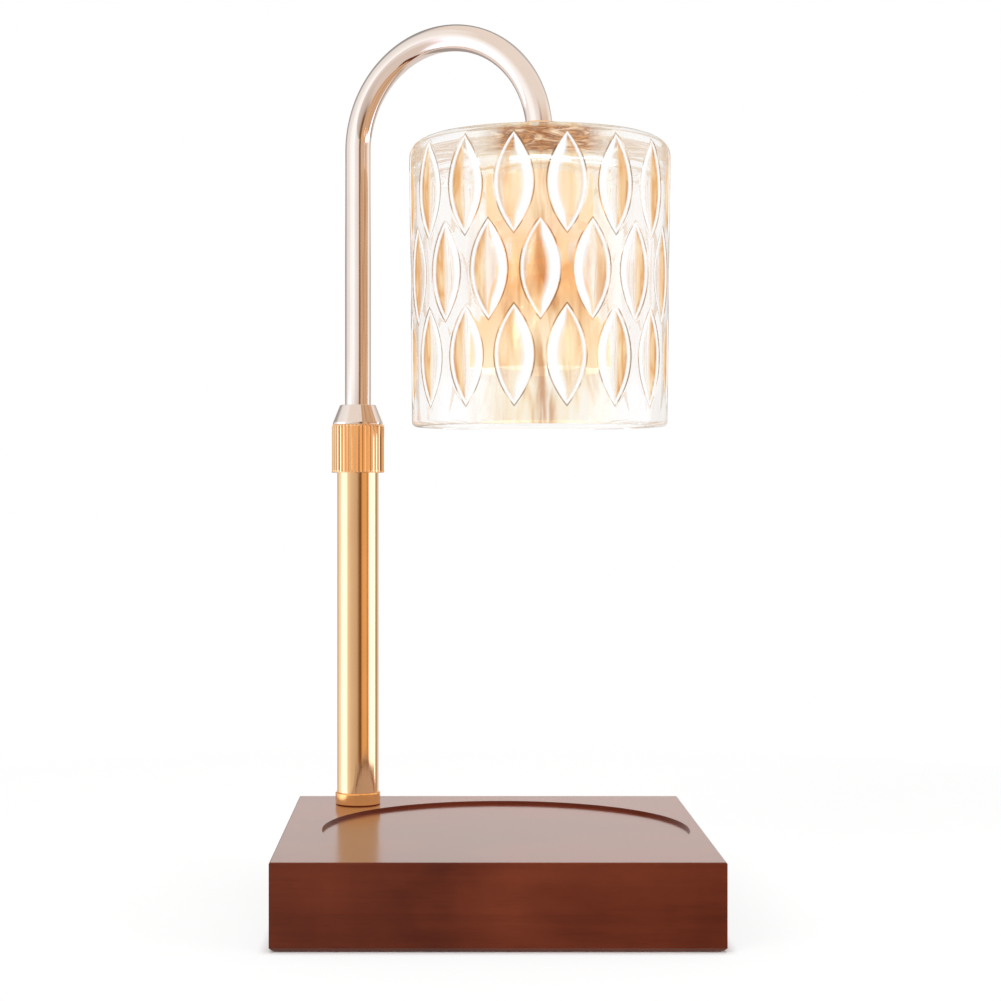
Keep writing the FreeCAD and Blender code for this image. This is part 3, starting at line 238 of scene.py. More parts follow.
# clear pressed glass, with the lamp's light in it painted on as emission; "cut" is 1 along a cut's middle, 0 on its
# outline and below 0 on the land,
# and "side" runs from -1 to 1 across a cut, positive towards the lamp's middle plane
# a Window gives where in cut a tone rises and falls, Gaps where a noise breaks it up, and an Edge where it ends
# round the shade, from 0 in the lamp's middle plane to 1 at its sides
def makeShadeGlass():
    glass = {"tint": (0.985, 0.98, 0.97), "roughness": 0.01, "ior": 1.5,
             "waves": 0.03, "waveScale": 90.0, "waveDepth": 0.0005,
             # painted shade: dark brown lines along each cut's outline
             "outline": [(0.36, (0.74, 0.50, 0.31)), (0.50, (0.42, 0.21, 0.10)), (0.60, (0.13, 0.06, 0.03))],
             "outlineCover": 0.9, "outlineWindow": (-0.055, -0.015, 0.015, 0.045),
             "outlineGaps": (0.36, 0.50, 0.35, 1.0),
             # painted highlight: white along each cut's outline, and wider on the side towards the lamp's middle plane
             "rim": (1.0, 1.0, 1.0), "rimCover": 1.0, "rimWindow": (0.04, 0.08, 0.14, 0.24),
             "wideRimWindow": (0.04, 0.08, 0.50, 0.80), "wideRimSide": (-0.1, 0.2),
             # painted reflection of the warm bulb: tan to orange cores with a darker line in the cuts, mostly on the
             # side away from the lamp's middle plane
             "core": [(0.32, (0.97, 0.78, 0.52)), (0.46, (0.92, 0.60, 0.32)), (0.58, (0.82, 0.44, 0.18)),
                      (0.70, (0.94, 0.66, 0.38))],
             "coreLine": (0.55, 0.21, 0.06), "coreLineCover": 0.75, "coreLineWindow": (0.14, 0.17, 0.22, 0.34),
             "coreLineGaps": (0.40, 0.56, 0.2, 1.0),
             "coreCover": 1.0, "coreStart": (0.13, 0.20), "coreSide": (-0.42, -0.08), "coreFar": 0.12,
             "coreEdge": (0.20, 0.50), "coreMiddle": 0.5,
             # painted glow of the lamp's light: the land turns cream, and warm orange round the bulb's height
             "warm": [(0.34, (0.96, 0.74, 0.45)), (0.48, (0.91, 0.50, 0.20)), (0.62, (0.64, 0.24, 0.07))],
             "cream": [(0.34, (1.0, 0.93, 0.78)), (0.52, (0.96, 0.80, 0.54)), (0.66, (0.80, 0.50, 0.24))],
             "warmLow": bottom("glass_shade") + 33 * mm, "warmHigh": bottom("glass_shade") + 62 * mm,
             "landCover": 0.82, "landLeast": 0.40, "landGaps": (0.30, 0.56), "landEdge": (0.22, 0.62),
             # painted shade: brown streaks on the land along the lamp's middle plane
             "middleShade": (0.52, 0.20, 0.06), "middleShadeCover": 0.8, "middleShadeEdge": (0.03, 0.11), "middleShadeGaps": (0.42, 0.60),
             # painted reflection of the gold cap through the top plate: copper streaks below the top, most in the
             # middle plane, with patches at the sides
             "band": [(0.32, (0.95, 0.74, 0.52)), (0.45, (0.66, 0.36, 0.18)), (0.53, (0.27, 0.085, 0.03)),
                      (0.62, (0.72, 0.33, 0.12))],
             "bandCover": 0.92, "bandEdge": (0.30, 0.54), "bandSideEdge": (0.86, 0.97), "bandSideCover": 0.7,
             "bandLow": top("glass_shade") - 12 * mm, "bandHigh": top("glass_shade") - 1.0 * mm,
             "bandFade": 1.5 * mm,
             # painted light: tones for rays that bounce about in the glass, and a flat tan for the glass as metal sees
             # it
             "caught": [(0.38, (1.0, 0.98, 0.95)), (0.50, (0.96, 0.83, 0.68)), (0.58, (0.62, 0.36, 0.20)),
                        (0.66, (0.95, 0.84, 0.72))],
             "caughtDepths": (3, 7),
             "mirrored": [(0.34, (0.80, 0.58, 0.38)), (0.50, (0.70, 0.46, 0.28)), (0.64, (0.56, 0.33, 0.19))],
             "haze": 0.04,
             "strokeNoise": (7.0, 3.0, 0.55, 0.6), "fineNoise": (22.0, 2.0, 0.5, 1.5),
             "edgeNoise": (12.0, 1.0, 0.5, 0.5), "strokeRise": 4.0,
             "streakNoise": (9.0, 4.0, 0.6, 2.2), "streakTurn": 0.35, "streakRise": 40.0}
    material, tree, shader = newMaterial("cut_glass")
    place = tree.add("ShaderNodeVectorMath", tree.add("ShaderNodeTexCoord").outputs["Object"],
                     (*shadeAxis, 0), operation="SUBTRACT").outputs[0]
    parts = tree.add("ShaderNodeSeparateXYZ", place).outputs
    wave = tree.noise(tree.objectPoint((1, 1, 0.6)), glass["waveScale"], 2.0)
    tree.feed(shader, "Base Color", tree.ramp(wave, [(0.2, glass["tint"]), (0.8, (1, 1, 1))]))
    tree.feed(shader, "Roughness", tree.span(wave, 0, glass["roughness"]))
    shader.inputs["Transmission Weight"].default_value = 1.0
    shader.inputs["IOR"].default_value = glass["ior"]
    tree.bump(shader, wave, glass["waves"], glass["waveDepth"])
    cut, side, outside = (tree.add("ShaderNodeAttribute", attribute_name=field).outputs["Fac"]
                          for field in ("cut", "side", "outside"))
    angle = tree.math("ARCTAN2", parts["Y"], parts["X"])
    sine, cosine = tree.math("SINE", angle), tree.math("COSINE", angle)
    across = tree.math("ABSOLUTE", cosine)
    turned = tree.add("ShaderNodeCombineXYZ", sine, cosine, tree.math("MULTIPLY", parts["Z"], glass["strokeRise"]))
    strokes = tree.noise(turned, *glass["strokeNoise"])
    fine = tree.noise(turned, *glass["fineNoise"])
    edge = tree.noise(turned, *glass["edgeNoise"])
    upright = tree.add("ShaderNodeCombineXYZ", tree.math("MULTIPLY", sine, glass["streakTurn"]),
                       tree.math("MULTIPLY", cosine, glass["streakTurn"]),
                       tree.math("MULTIPLY", parts["Z"], glass["streakRise"]))
    streaks = tree.noise(upright, *glass["streakNoise"])

    reach = (glass["warmHigh"] - glass["warmLow"]) / 2
    warmth = tree.window(parts["Z"], glass["warmLow"], glass["warmLow"] + reach,
                         glass["warmHigh"] - reach / 2, glass["warmHigh"] + reach / 2, 1.0)
    landColor = tree.blend(warmth, tree.ramp(strokes, glass["cream"]), tree.ramp(strokes, glass["warm"]))
    landAmount = tree.math("MULTIPLY", tree.between(across, *glass["landEdge"], 1.0, 0.0),
                           tree.between(strokes, *glass["landGaps"], glass["landLeast"], glass["landCover"]))
    middleShadeAmount = tree.math("MULTIPLY", tree.between(across, *glass["middleShadeEdge"], glass["middleShadeCover"], 0.0),
                           tree.between(strokes, *glass["middleShadeGaps"], 0.0, 1.0))
    bandHeight = tree.window(parts["Z"], glass["bandLow"], glass["bandLow"] + glass["bandFade"],
                             glass["bandHigh"] - glass["bandFade"], glass["bandHigh"], glass["bandCover"])
    bandAmount = tree.math("MULTIPLY", bandHeight,
                           tree.math("MAXIMUM", tree.between(across, *glass["bandEdge"], 1.0, 0.0),
                                     tree.between(across, *glass["bandSideEdge"], 0.0, glass["bandSideCover"])))
    coreLine = tree.math("MULTIPLY", tree.window(cut, *glass["coreLineWindow"], glass["coreLineCover"]),
                         tree.between(fine, *glass["coreLineGaps"]))
    coreColor = tree.blend(coreLine, tree.ramp(edge, glass["core"]), (*glass["coreLine"], 1))
    coreAside = tree.math("MULTIPLY", tree.between(side, *glass["coreSide"], 1.0, glass["coreFar"]),
                          tree.between(across, *glass["coreEdge"], glass["coreMiddle"], 1.0))
    coreAmount = tree.math("MULTIPLY", tree.between(cut, *glass["coreStart"], 0.0, glass["coreCover"]), coreAside)
    wideRim = tree.math("MULTIPLY", tree.window(cut, *glass["wideRimWindow"], glass["rimCover"]),
                        tree.between(side, *glass["wideRimSide"], 0.0, 1.0))
    rimHighlightAmount = tree.math("MAXIMUM", tree.window(cut, *glass["rimWindow"], glass["rimCover"]), wideRim)
    outlineAmount = tree.math("MULTIPLY", tree.window(cut, *glass["outlineWindow"], glass["outlineCover"]),
                              tree.between(edge, *glass["outlineGaps"]))
    # the painted light, layer over layer, goes on as emission over the outside of the glass
    color, amount = landColor, landAmount
    for nextColor, nextAmount in [((*glass["middleShade"], 1), middleShadeAmount), (tree.ramp(streaks, glass["band"]), bandAmount),
                                  (coreColor, coreAmount), ((*glass["rim"], 1), rimHighlightAmount),
                                  (tree.ramp(edge, glass["outline"]), outlineAmount)]:
        color = tree.blend(nextAmount, color, nextColor)
        amount = tree.math("MAXIMUM", amount, nextAmount)
    front = tree.math("SUBTRACT", 1.0, tree.add("ShaderNodeNewGeometry").outputs["Backfacing"])
    amount = tree.math("MULTIPLY", tree.math("MULTIPLY", amount, outside), front)
    lit = tree.add("ShaderNodeMixShader", amount, shader, tree.add("ShaderNodeEmission", color))

    # painted light: rays that have bounced about in the glass end in the caught tones, and metal sees the glass as
    # mirrored, a flat painted tan reflection
    light = tree.add("ShaderNodeLightPath").outputs
    caught = tree.add("ShaderNodeEmission", tree.ramp(fine, glass["caught"]))
    whole = tree.add("ShaderNodeMixShader", tree.between(light["Ray Depth"], *glass["caughtDepths"], 0.0, 1.0),
                     lit, caught)
    seenInMetal = tree.math("MULTIPLY", light["Is Glossy Ray"], tree.between(light["Ray Depth"], 1, 2, 1.0, 0.0))
    seenInMetal = tree.math("MULTIPLY", seenInMetal,
                            tree.between(light["Is Transmission Ray"], 0, 1, 1.0, glass["haze"]))
    mirrored = tree.add("ShaderNodeEmission", tree.ramp(strokes, glass["mirrored"]))
    tree.feed(tree.output, 0, tree.add("ShaderNodeMixShader", seenInMetal, whole, mirrored))
    return material


def makeClearSilicone():
    silicone = {"tones": [(0.3, (0.94, 0.93, 0.90)), (0.7, (0.98, 0.97, 0.95))], "cloudScale": 200.0,
                "roughness": (0.15, 0.3), "transmission": 0.95, "ior": 1.41}
    material, tree, shader = newMaterial("clear_silicone")
    cloud = tree.noise(tree.objectPoint(), silicone["cloudScale"], 2.0)
    tree.feed(shader, "Base Color", tree.ramp(cloud, silicone["tones"]))
    tree.feed(shader, "Roughness", tree.span(cloud, *silicone["roughness"]))
    shader.inputs["Transmission Weight"].default_value = silicone["transmission"]
    shader.inputs["IOR"].default_value = silicone["ior"]
    return material


# the coated reflector, which lets some warm light out through its back: more near the neck
def makeReflector():
    glow = {"color": (0.40, 0.28, 0.17), "roughness": (0.12, 0.25), "strength": 0.85, "cloudScale": 110.0,
            "heightShare": 0.7, "cloudShare": 0.45,
            "tones": [(0.2, (0.97, 0.76, 0.50)), (0.5, (0.95, 0.52, 0.21)), (0.85, (0.88, 0.36, 0.11))]}
    material, tree, shader = newMaterial("dichroic_reflector")
    cloud = tree.noise(tree.objectPoint((1, 1, 0.25)), glow["cloudScale"], 3.0, 0.6, 0.5)
    height = tree.add("ShaderNodeSeparateXYZ", tree.objectPoint()).outputs["Z"]
    rise = tree.between(height, bottom("bulb_reflector"), top("bulb_reflector"), 0.0, 1.0)
    mixed = tree.math("ADD", tree.math("MULTIPLY", rise, glow["heightShare"]),
                      tree.math("MULTIPLY", cloud, glow["cloudShare"]))
    tree.feed(shader, "Base Color", tree.ramp(cloud, [(0.3, shade(glow["color"], 0.9)), (0.7, glow["color"])]))
    shader.inputs["Metallic"].default_value = 1.0
    tree.feed(shader, "Roughness", tree.span(cloud, *glow["roughness"]))
    tree.feed(shader, "Emission Color", tree.ramp(mixed, glow["tones"]))
    shader.inputs["Emission Strength"].default_value = glow["strength"]
    return material


# a piece beside the filament, glowing from edge in its darker clouds to color in its lighter ones; on the bulb's lens
# this is the lamp's light, on the pieces round it painted glow
def makeLit(name, color, edge, strength, scale, roughness=0.15):
    material, tree, shader = newMaterial(name)
    cloud = tree.noise(tree.objectPoint(), scale, 2.0)
    tree.feed(shader, "Base Color", tree.ramp(cloud, [(0.3, shade(color, 0.9)), (0.7, color)]))
    tree.feed(shader, "Emission Color", tree.ramp(cloud, [(0.3, edge), (0.7, color)]))
    shader.inputs["Emission Strength"].default_value = strength
    shader.inputs["Roughness"].default_value = roughness
    return material


# for makeFinish: name, colour, metallic, roughness, noise scale, variation of colour and depth of surface
finishes = {
    "walnut_wood": makeWood(),
    "black_steel": makeFinish("powder_coat", (0.018, 0.018, 0.02), 0.0, 0.55, 900.0, 0.25, 0.5),
    "zinc_steel": makeFinish("zinc_plate", (0.60, 0.60, 0.63), 1.0, 0.32, 500.0, 0.08, 0.12),
    "pad_rubber": makeFinish("foot_rubber", (0.025, 0.025, 0.025), 0.0, 0.8, 600.0, 0.3, 0.4),
    "black_plastic": makeFinish("inlet_plastic", (0.02, 0.02, 0.02), 0.0, 0.45, 800.0, 0.2, 0.3),
    "white_nylon": makeFinish("moulded_nylon", (0.78, 0.77, 0.72), 0.0, 0.4, 300.0, 0.04, 0.1, subsurface=0.1),
    "plain_brass": makeFinish("turned_brass", (0.82, 0.60, 0.28), 1.0, 0.28, 500.0, 0.06, 0.12),
    "polished_gold": makeFinish("polished_gold", (0.95, 0.61, 0.33), 1.0, 0.10, 260.0, 0.03, 0.006),
    "champagne_metal": makeFinish("champagne_nickel", (0.87, 0.755, 0.70), 1.0, 0.09, 260.0, 0.03, 0.003),
    "cable_sheath": makeFinish("cable_sheath", (0.72, 0.70, 0.64), 0.0, 0.4, 400.0, 0.05, 0.1),
    "clear_silicone": makeClearSilicone(),
    "clear_glass": makeShadeGlass(),
    "white_ceramic": makeFinish("steatite", (0.83, 0.80, 0.74), 0.0, 0.5, 500.0, 0.05, 0.2, subsurface=0.1),
    "reflector_mirror": makeReflector(),
    "bulb_glass": makeLit("lit_bulb_glass", (1.0, 0.86, 0.64), (0.98, 0.76, 0.50), 0.9, 60.0),
}
# a deeper orange copy of the polished gold for the foot ring: painted reflection of the red wood beside it
ringGoldWoodReflection = makeFinish("orange_gold", (0.93, 0.47, 0.17), 1.0, 0.14, 260.0, 0.04, 0.01)
# for makeLit: name, colour, edge colour, strength and noise scale; these pieces are no lamps, and their glow is painted
# light from the bulb
litPieces = {"bulb_base": makeLit("lit_ceramic", (0.95, 0.50, 0.20), (0.85, 0.36, 0.12), 0.7, 90.0),
             "lamp_holder": makeLit("lit_holder", (0.90, 0.50, 0.24), (0.70, 0.30, 0.12), 0.6, 90.0),
             "holder_bracket": makeLit("lit_bracket", (0.80, 0.45, 0.22), (0.6, 0.25, 0.1), 0.5, 90.0),
             "holder_screws": makeLit("lit_screws", (0.80, 0.45, 0.22), (0.6, 0.25, 0.1), 0.5, 90.0),
             "socket_cup": makeLit("lit_gold_cup", (0.88, 0.52, 0.24), (0.72, 0.36, 0.13), 0.55, 120.0)}
print("materials made:", len(finishes))


for node in nodes:
    if not nodes[node].material_slots:
        nodes[node].data.materials.append(None)
    for place in nodes[node].material_slots:
        place.material = litPieces.get(node) or finishes[slotOf[node]]
print("frame nodes dressed")


# a grid of points[i, j] becomes quads; it closes on itself across j, and with along also from its last row to its first
def gridPiece(name, points, body, slot, replaced, along=False, smoothAngle=35, fields=None):
    rows, columns = points.shape[:2]
    i = np.arange(rows if along else rows - 1)[:, None]
    j = np.arange(columns)[None, :]
    nextI, nextJ = (i + 1) % rows, (j + 1) % columns
    quads = np.stack([i * columns + j, i * columns + nextJ, nextI * columns + nextJ, nextI * columns + j], axis=-1)
    quads = quads.reshape(-1, 4)
    flat = points.reshape(-1, 3)
    a, b, c, d = (flat[quads[:, k]] for k in range(4))
    volume = np.einsum("ij,ij->", a, np.cross(b, c)) + np.einsum("ij,ij->", a, np.cross(c, d))
    if volume < 0:
        quads = quads[:, ::-1]
    mesh = bpy.data.meshes.new(name)
    mesh.vertices.add(len(flat))
    mesh.vertices.foreach_set("co", flat.ravel())
    mesh.loops.add(quads.size)
    mesh.loops.foreach_set("vertex_index", quads.ravel())
    mesh.polygons.add(len(quads))
    mesh.polygons.foreach_set("loop_start", np.arange(0, quads.size, 4))
    mesh.update(calc_edges=True)
    mesh.validate()
    for field, values in (fields or {}).items():
        mesh.attributes.new(field, "FLOAT", "POINT").data.foreach_set("value", values.astype(np.float32).ravel())
    mergePoles(mesh)
    mesh.polygons.foreach_set("use_smooth", np.ones(len(mesh.polygons), dtype=bool))
    mesh.set_sharp_from_angle(angle=np.radians(smoothAngle))
    return addPiece(name, mesh, body, slot, replaced)


def mergePoles(mesh):
    edit = bmesh.new()
    edit.from_mesh(mesh)
    bmesh.ops.remove_doubles(edit, verts=edit.verts, dist=1e-7)
    bmesh.ops.dissolve_degenerate(edit, edges=edit.edges, dist=1e-8)
    edit.to_mesh(mesh)
    edit.free()


def addPiece(name, mesh, body, slot, replaced):
    item = bpy.data.objects.new(name, mesh)
    bpy.context.collection.objects.link(item)
    mesh.materials.append(finishes[slot])
    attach(item, body)
    if replaced:
        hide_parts(*replaced)
    return item


# an outline through corners (radius, height, round), closed or from first to last; each arc is its tangent circle
def roundedOutline(corners, steps=5, closed=True):
    points = np.array([corner[:2] for corner in corners], dtype=float)
    rounds = [corner[2] if len(corner) > 2 else 0 for corner in corners]
    pieces = []
    for index, (point, size) in enumerate(zip(points, rounds)):
        isEnd = not closed and index in (0, len(points) - 1)
        if size <= 0 or isEnd:
            pieces.append(point[None, :])
            continue
        before, after = points[index - 1] - point, points[(index + 1) % len(points)] - point
        before, after = before / np.linalg.norm(before), after / np.linalg.norm(after)
        half = np.arccos(np.clip(before @ after, -1, 1)) / 2
        centre = point + (before + after) / np.linalg.norm(before + after) * size / np.sin(half)
        start, end = point + before * size / np.tan(half), point + after * size / np.tan(half)
        blend = np.linspace(0, 1, steps + 1)
        sweep = np.pi - 2 * half
        weights = np.stack([np.sin((1 - blend) * sweep), np.sin(blend * sweep)], axis=1) / np.sin(sweep)
        pieces.append(centre + weights @ np.stack([start - centre, end - centre]))
    return np.concatenate(pieces)


# turned surface: point(s, a) = axis + (radius cos a, radius sin a, height(s)), where radius may vary with s and a
def turnedPoints(radius, height, angle, axis):
    return np.stack([axis[0] + radius * np.cos(angle), axis[1] + radius * np.sin(angle),
                     height + 0 * angle], axis=-1)


# a long straight run gets a point close to each end, so that its shading stays straight
def heldFlat(outline, gap=0.03 * mm):
    held = []
    for point, after in zip(outline, np.roll(outline, -1, axis=0)):
        held.append(point)
        run = after - point
        length = np.linalg.norm(run)
        if length > 4 * gap:
            held.extend([point + run * gap / length, after - run * gap / length])
    return np.array(held)


def turnedPiece(name, corners, axis, body, slot, replaced, segments=128, steps=5, closed=True):
    outline = roundedOutline(corners, steps, closed)
    outline = heldFlat(outline) if closed else outline
    angle = np.linspace(0, 2 * np.pi, segments, endpoint=False)
    points = turnedPoints(outline[:, 0:1], outline[:, 1:2], angle, axis)
    return gridPiece(name, points, body, slot, replaced, along=closed)


def tubeCorners(bore, radius, low, high, edge):
    return [(bore, low, edge / 2), (radius, low, edge), (radius, high, edge), (bore, high, edge / 2)]


# the column and the ring at its foot
def makeColumn():
    column = {"wall": 1.0 * mm, "edge": 0.25 * mm, "ringEdge": 0.45 * mm, "ringGap": 0.05 * mm}
    radius = radiusOf("column_tube")
    low, high = bottom("column_tube"), top("column_tube")
    turnedPiece("column_tube_polished", tubeCorners(radius - column["wall"], radius, low, high, column["edge"]),
                columnAxis, "base", "polished_gold", ["column_tube"])
    ring = turnedPiece("foot_ring_polished", tubeCorners(radius + column["ringGap"], radiusOf("foot_ring"),
                                                         bottom("foot_ring"), top("foot_ring"), column["ringEdge"]),
                       columnAxis, "base", "polished_gold", ["foot_ring"])
    ring.data.materials[0] = ringGoldWoodReflection


# the lead's slack in the column, which on the real lamp shortens as the arm slides down
def makeColumnLead():
    lead = {"edge": 0.3 * mm, "travel": 75 * mm, "gap": 0.5 * mm}
    low, high = bottom("column_lead"), top("column_lead")
    radius = radiusOf("column_lead")
    item = turnedPiece("column_lead_slack", [(0, low), (radius, low, lead["edge"]), (radius, high, lead["edge"]),
                                             (0, high)], columnAxis, "base", "cable_sheath", ["column_lead"], 24, 3,
                       closed=False)
    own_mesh(item)


# the fluted lock nut: radius(a, z) = nut radius less a V of depth d at each flute, faded out at both ends
# the V's half width is a share of the pitch from flute to flute
def makeLockNut():
    nut = {"flutes": 42, "depth": 0.55 * mm, "halfWidth": 0.3, "margin": 0.1 * mm, "fade": 0.3 * mm,
           "edge": 0.25 * mm, "boreEdge": 0.2 * mm, "gap": 0.2 * mm, "samples": 10, "rows": 48}
    bore, size, edge = radiusOf("column_tube") + nut["gap"], radiusOf("nut_sleeve"), nut["edge"]
    low, high = bottom("nut_sleeve"), top("nut_sleeve")
    wall = np.linspace(low + edge, high - edge, nut["rows"])[1:-1]
    outer = np.concatenate([roundedOutline([(bore, low, nut["boreEdge"]), (size, low, edge), (size, high, 0)],
                                           closed=False)[:-1],
                            np.stack([np.full(len(wall), size), wall], axis=1),
                            roundedOutline([(size, low, 0), (size, high, edge), (bore, high, 0)], closed=False)[1:]])
    angle = np.linspace(0, 2 * np.pi, nut["flutes"] * nut["samples"], endpoint=False)
    phase = (angle * nut["flutes"] / (2 * np.pi)) % 1
    groove = np.clip(1 - np.abs(phase - 0.5) / nut["halfWidth"], 0, 1)
    radius, height = outer[:, 0:1], outer[:, 1:2]
    fade = np.clip((np.minimum(height - low, high - height) - nut["margin"]) / nut["fade"], 0, 1)
    onWall = radius > size - 1e-6
    points = turnedPoints(radius - fade * onWall * groove * nut["depth"], height, angle, columnAxis)
    gridPiece("lock_nut_fluted", points, "lock_nut", "polished_gold", ["nut_sleeve"], along=True, smoothAngle=40)


def makeNutCone():
    cone = {"land": 1.0 * mm, "bore": 5.3 * mm, "edge": 0.3 * mm, "boreEdge": 0.2 * mm, "topRadius": 7.0 * mm}
    low, high = top("nut_sleeve"), top("nut_cone")
    radius = radiusOf("nut_cone")
    turnedPiece("nut_cone_polished", [(cone["bore"], low), (radius, low, cone["edge"]),
                                      (radius, low + cone["land"], cone["edge"]),
                                      (cone["topRadius"], high, cone["edge"]),
                                      (cone["bore"], high, cone["boreEdge"])],
                columnAxis, "lock_nut", "champagne_metal", ["nut_cone"])


# the gooseneck: a section circle carried up a line and round half a turn of radius R
# centre(t) = foot + t up on the line, then bend centre + R(-cos b, sin b) in the arm's own plane
def makeArm():
    arm = {"radius": 5.0 * mm, "bore": 4.0 * mm, "lineRows": 12, "bendRows": 96, "segments": 64}
    radius = arm["radius"]
    foot = bottom("arm_tube")
    reach = np.array(shadeAxis) - np.array(columnAxis)
    bend = np.linalg.norm(reach) / 2
    ahead = reach / np.linalg.norm(reach)
    bendLevel = top("arm_tube") - bend - radius
    along = np.linspace(foot, bendLevel, arm["lineRows"], endpoint=False)
    turn = np.linspace(0, np.pi, arm["bendRows"])
    out = np.concatenate([0 * along, bend - bend * np.cos(turn)])
    up = np.concatenate([along, bendLevel + bend * np.sin(turn)])
    normalOut = np.concatenate([np.full(len(along), -1.0), -np.cos(turn)])
    normalUp = np.concatenate([0 * along, np.sin(turn)])
    angle = np.linspace(0, 2 * np.pi, arm["segments"], endpoint=False)

    def surface(size):
        outward = out[:, None] + size * np.cos(angle) * normalOut[:, None]
        upward = up[:, None] + size * np.cos(angle) * normalUp[:, None]
        aside = size * np.sin(angle) + 0 * out[:, None]
        return np.stack([columnAxis[0] + outward * ahead[0] - aside * ahead[1],
                         columnAxis[1] + outward * ahead[1] + aside * ahead[0], upward], axis=-1)

    points = np.concatenate([surface(radius), surface(arm["bore"])[::-1]])
    gridPiece("arm_tube_polished", points, "arm", "champagne_metal", ["arm_tube"], along=True)


# the shade: a rounded tumbler outline, less smooth pointed scoops in staggered rows
# scoop(u, z) = depth (1 - w^2) (1 - (u / U)^2), where w is the height from the row over half a cut
# and U = width / 2 (1 - w^2) is the scoop's half width there
def makeShade():
    glass = {"topRadius": 48.2 * mm, "taper": 1.2 * mm, "wall": 5.2 * mm, "plate": 10 * mm, "shoulder": 6.6 * mm,
             "inner": 8 * mm, "rim": 1.8 * mm, "hole": 5.5 * mm, "holeEdge": 0.4 * mm, "cutRows": 3, "perRow": 16,
             "cutLength": 35.8 * mm, "cutWidth": 14.6 * mm, "cutDepth": 1.8 * mm, "firstRow": 21.5 * mm,
             "rowPitch": 30 * mm, "turn": 9.1, "plainLow": 2 * mm, "plainHigh": 3 * mm, "inside": 1 * mm,
             "columns": 512, "rows": 122, "steps": 10}
    high, low = top("glass_shade"), bottom("glass_shade")
    topRadius = glass["topRadius"]
    lowRadius = topRadius - glass["taper"]
    innerTop, innerLow = topRadius - glass["wall"], lowRadius - glass["wall"]
    ceiling = high - glass["plate"]
    outline = roundedOutline([(innerLow, low, glass["rim"]), (lowRadius, low, glass["rim"]),
                              (topRadius, high, glass["shoulder"]), (glass["hole"], high, glass["holeEdge"]),
                              (glass["hole"], ceiling, glass["holeEdge"]), (innerTop, ceiling, glass["inner"])],
                             glass["steps"])
    wallEnds = np.argmax(np.diff(outline[:, 1]))
    wallRows = np.linspace(0, 1, glass["rows"])[1:-1, None]
    wall = outline[wallEnds] + wallRows * (outline[wallEnds + 1] - outline[wallEnds])
    outline = np.concatenate([outline[:wallEnds + 1], wall, outline[wallEnds + 1:]])
    start = -np.pi / 2 + np.radians(glass["turn"])
    angle = start + np.linspace(0, 2 * np.pi, glass["columns"], endpoint=False)
    radius, height = outline[:, 0:1], outline[:, 1:2]
    pitch = 2 * np.pi / glass["perRow"]
    cut = np.full((len(outline), glass["columns"]), -9.0)  # far below the least value of any cut
    side, depth = np.zeros_like(cut), np.zeros_like(cut)
    for row in range(glass["cutRows"]):
        level = high - glass["firstRow"] - row * glass["rowPitch"]
        phase = start + row % 2 * pitch / 2
        aside = ((angle - phase + pitch / 2) % pitch - pitch / 2)[None, :] * radius / (glass["cutWidth"] / 2)
        width = 1 - ((height - level) / (glass["cutLength"] / 2)) ** 2
        nearer = width - np.abs(aside) > cut
        cut = np.where(nearer, width - np.abs(aside), cut)
        across = aside / np.maximum(width, 1e-6)
        towards = np.sign(np.sin(2 * (angle - (aside[:1] * glass["cutWidth"] / 2 / radius[:1])[0])))
        side = np.where(nearer, np.clip(across * towards, -1, 1), side)
        depth = np.maximum(depth, np.clip(width, 0, 1) * np.clip(1 - across ** 2, 0, 1) * (width > 0))
    outside = radius > innerTop + glass["inside"]
    isCut = outside & (height > low + glass["plainLow"]) & (height < high - glass["plainHigh"])
    cutRadius = radius - np.where(isCut, depth * glass["cutDepth"], 0)
    gridPiece("glass_shade_cut", turnedPoints(cutRadius, height, angle, shadeAxis), "arm", "clear_glass",
              ["glass_shade"], along=True, smoothAngle=60,
              fields={"cut": cut, "side": side, "outside": 1.0 * outside + 0 * cut})


makeColumn()
makeColumnLead()
makeLockNut()
makeNutCone()
makeArm()
makeShade()
print("pieces made")


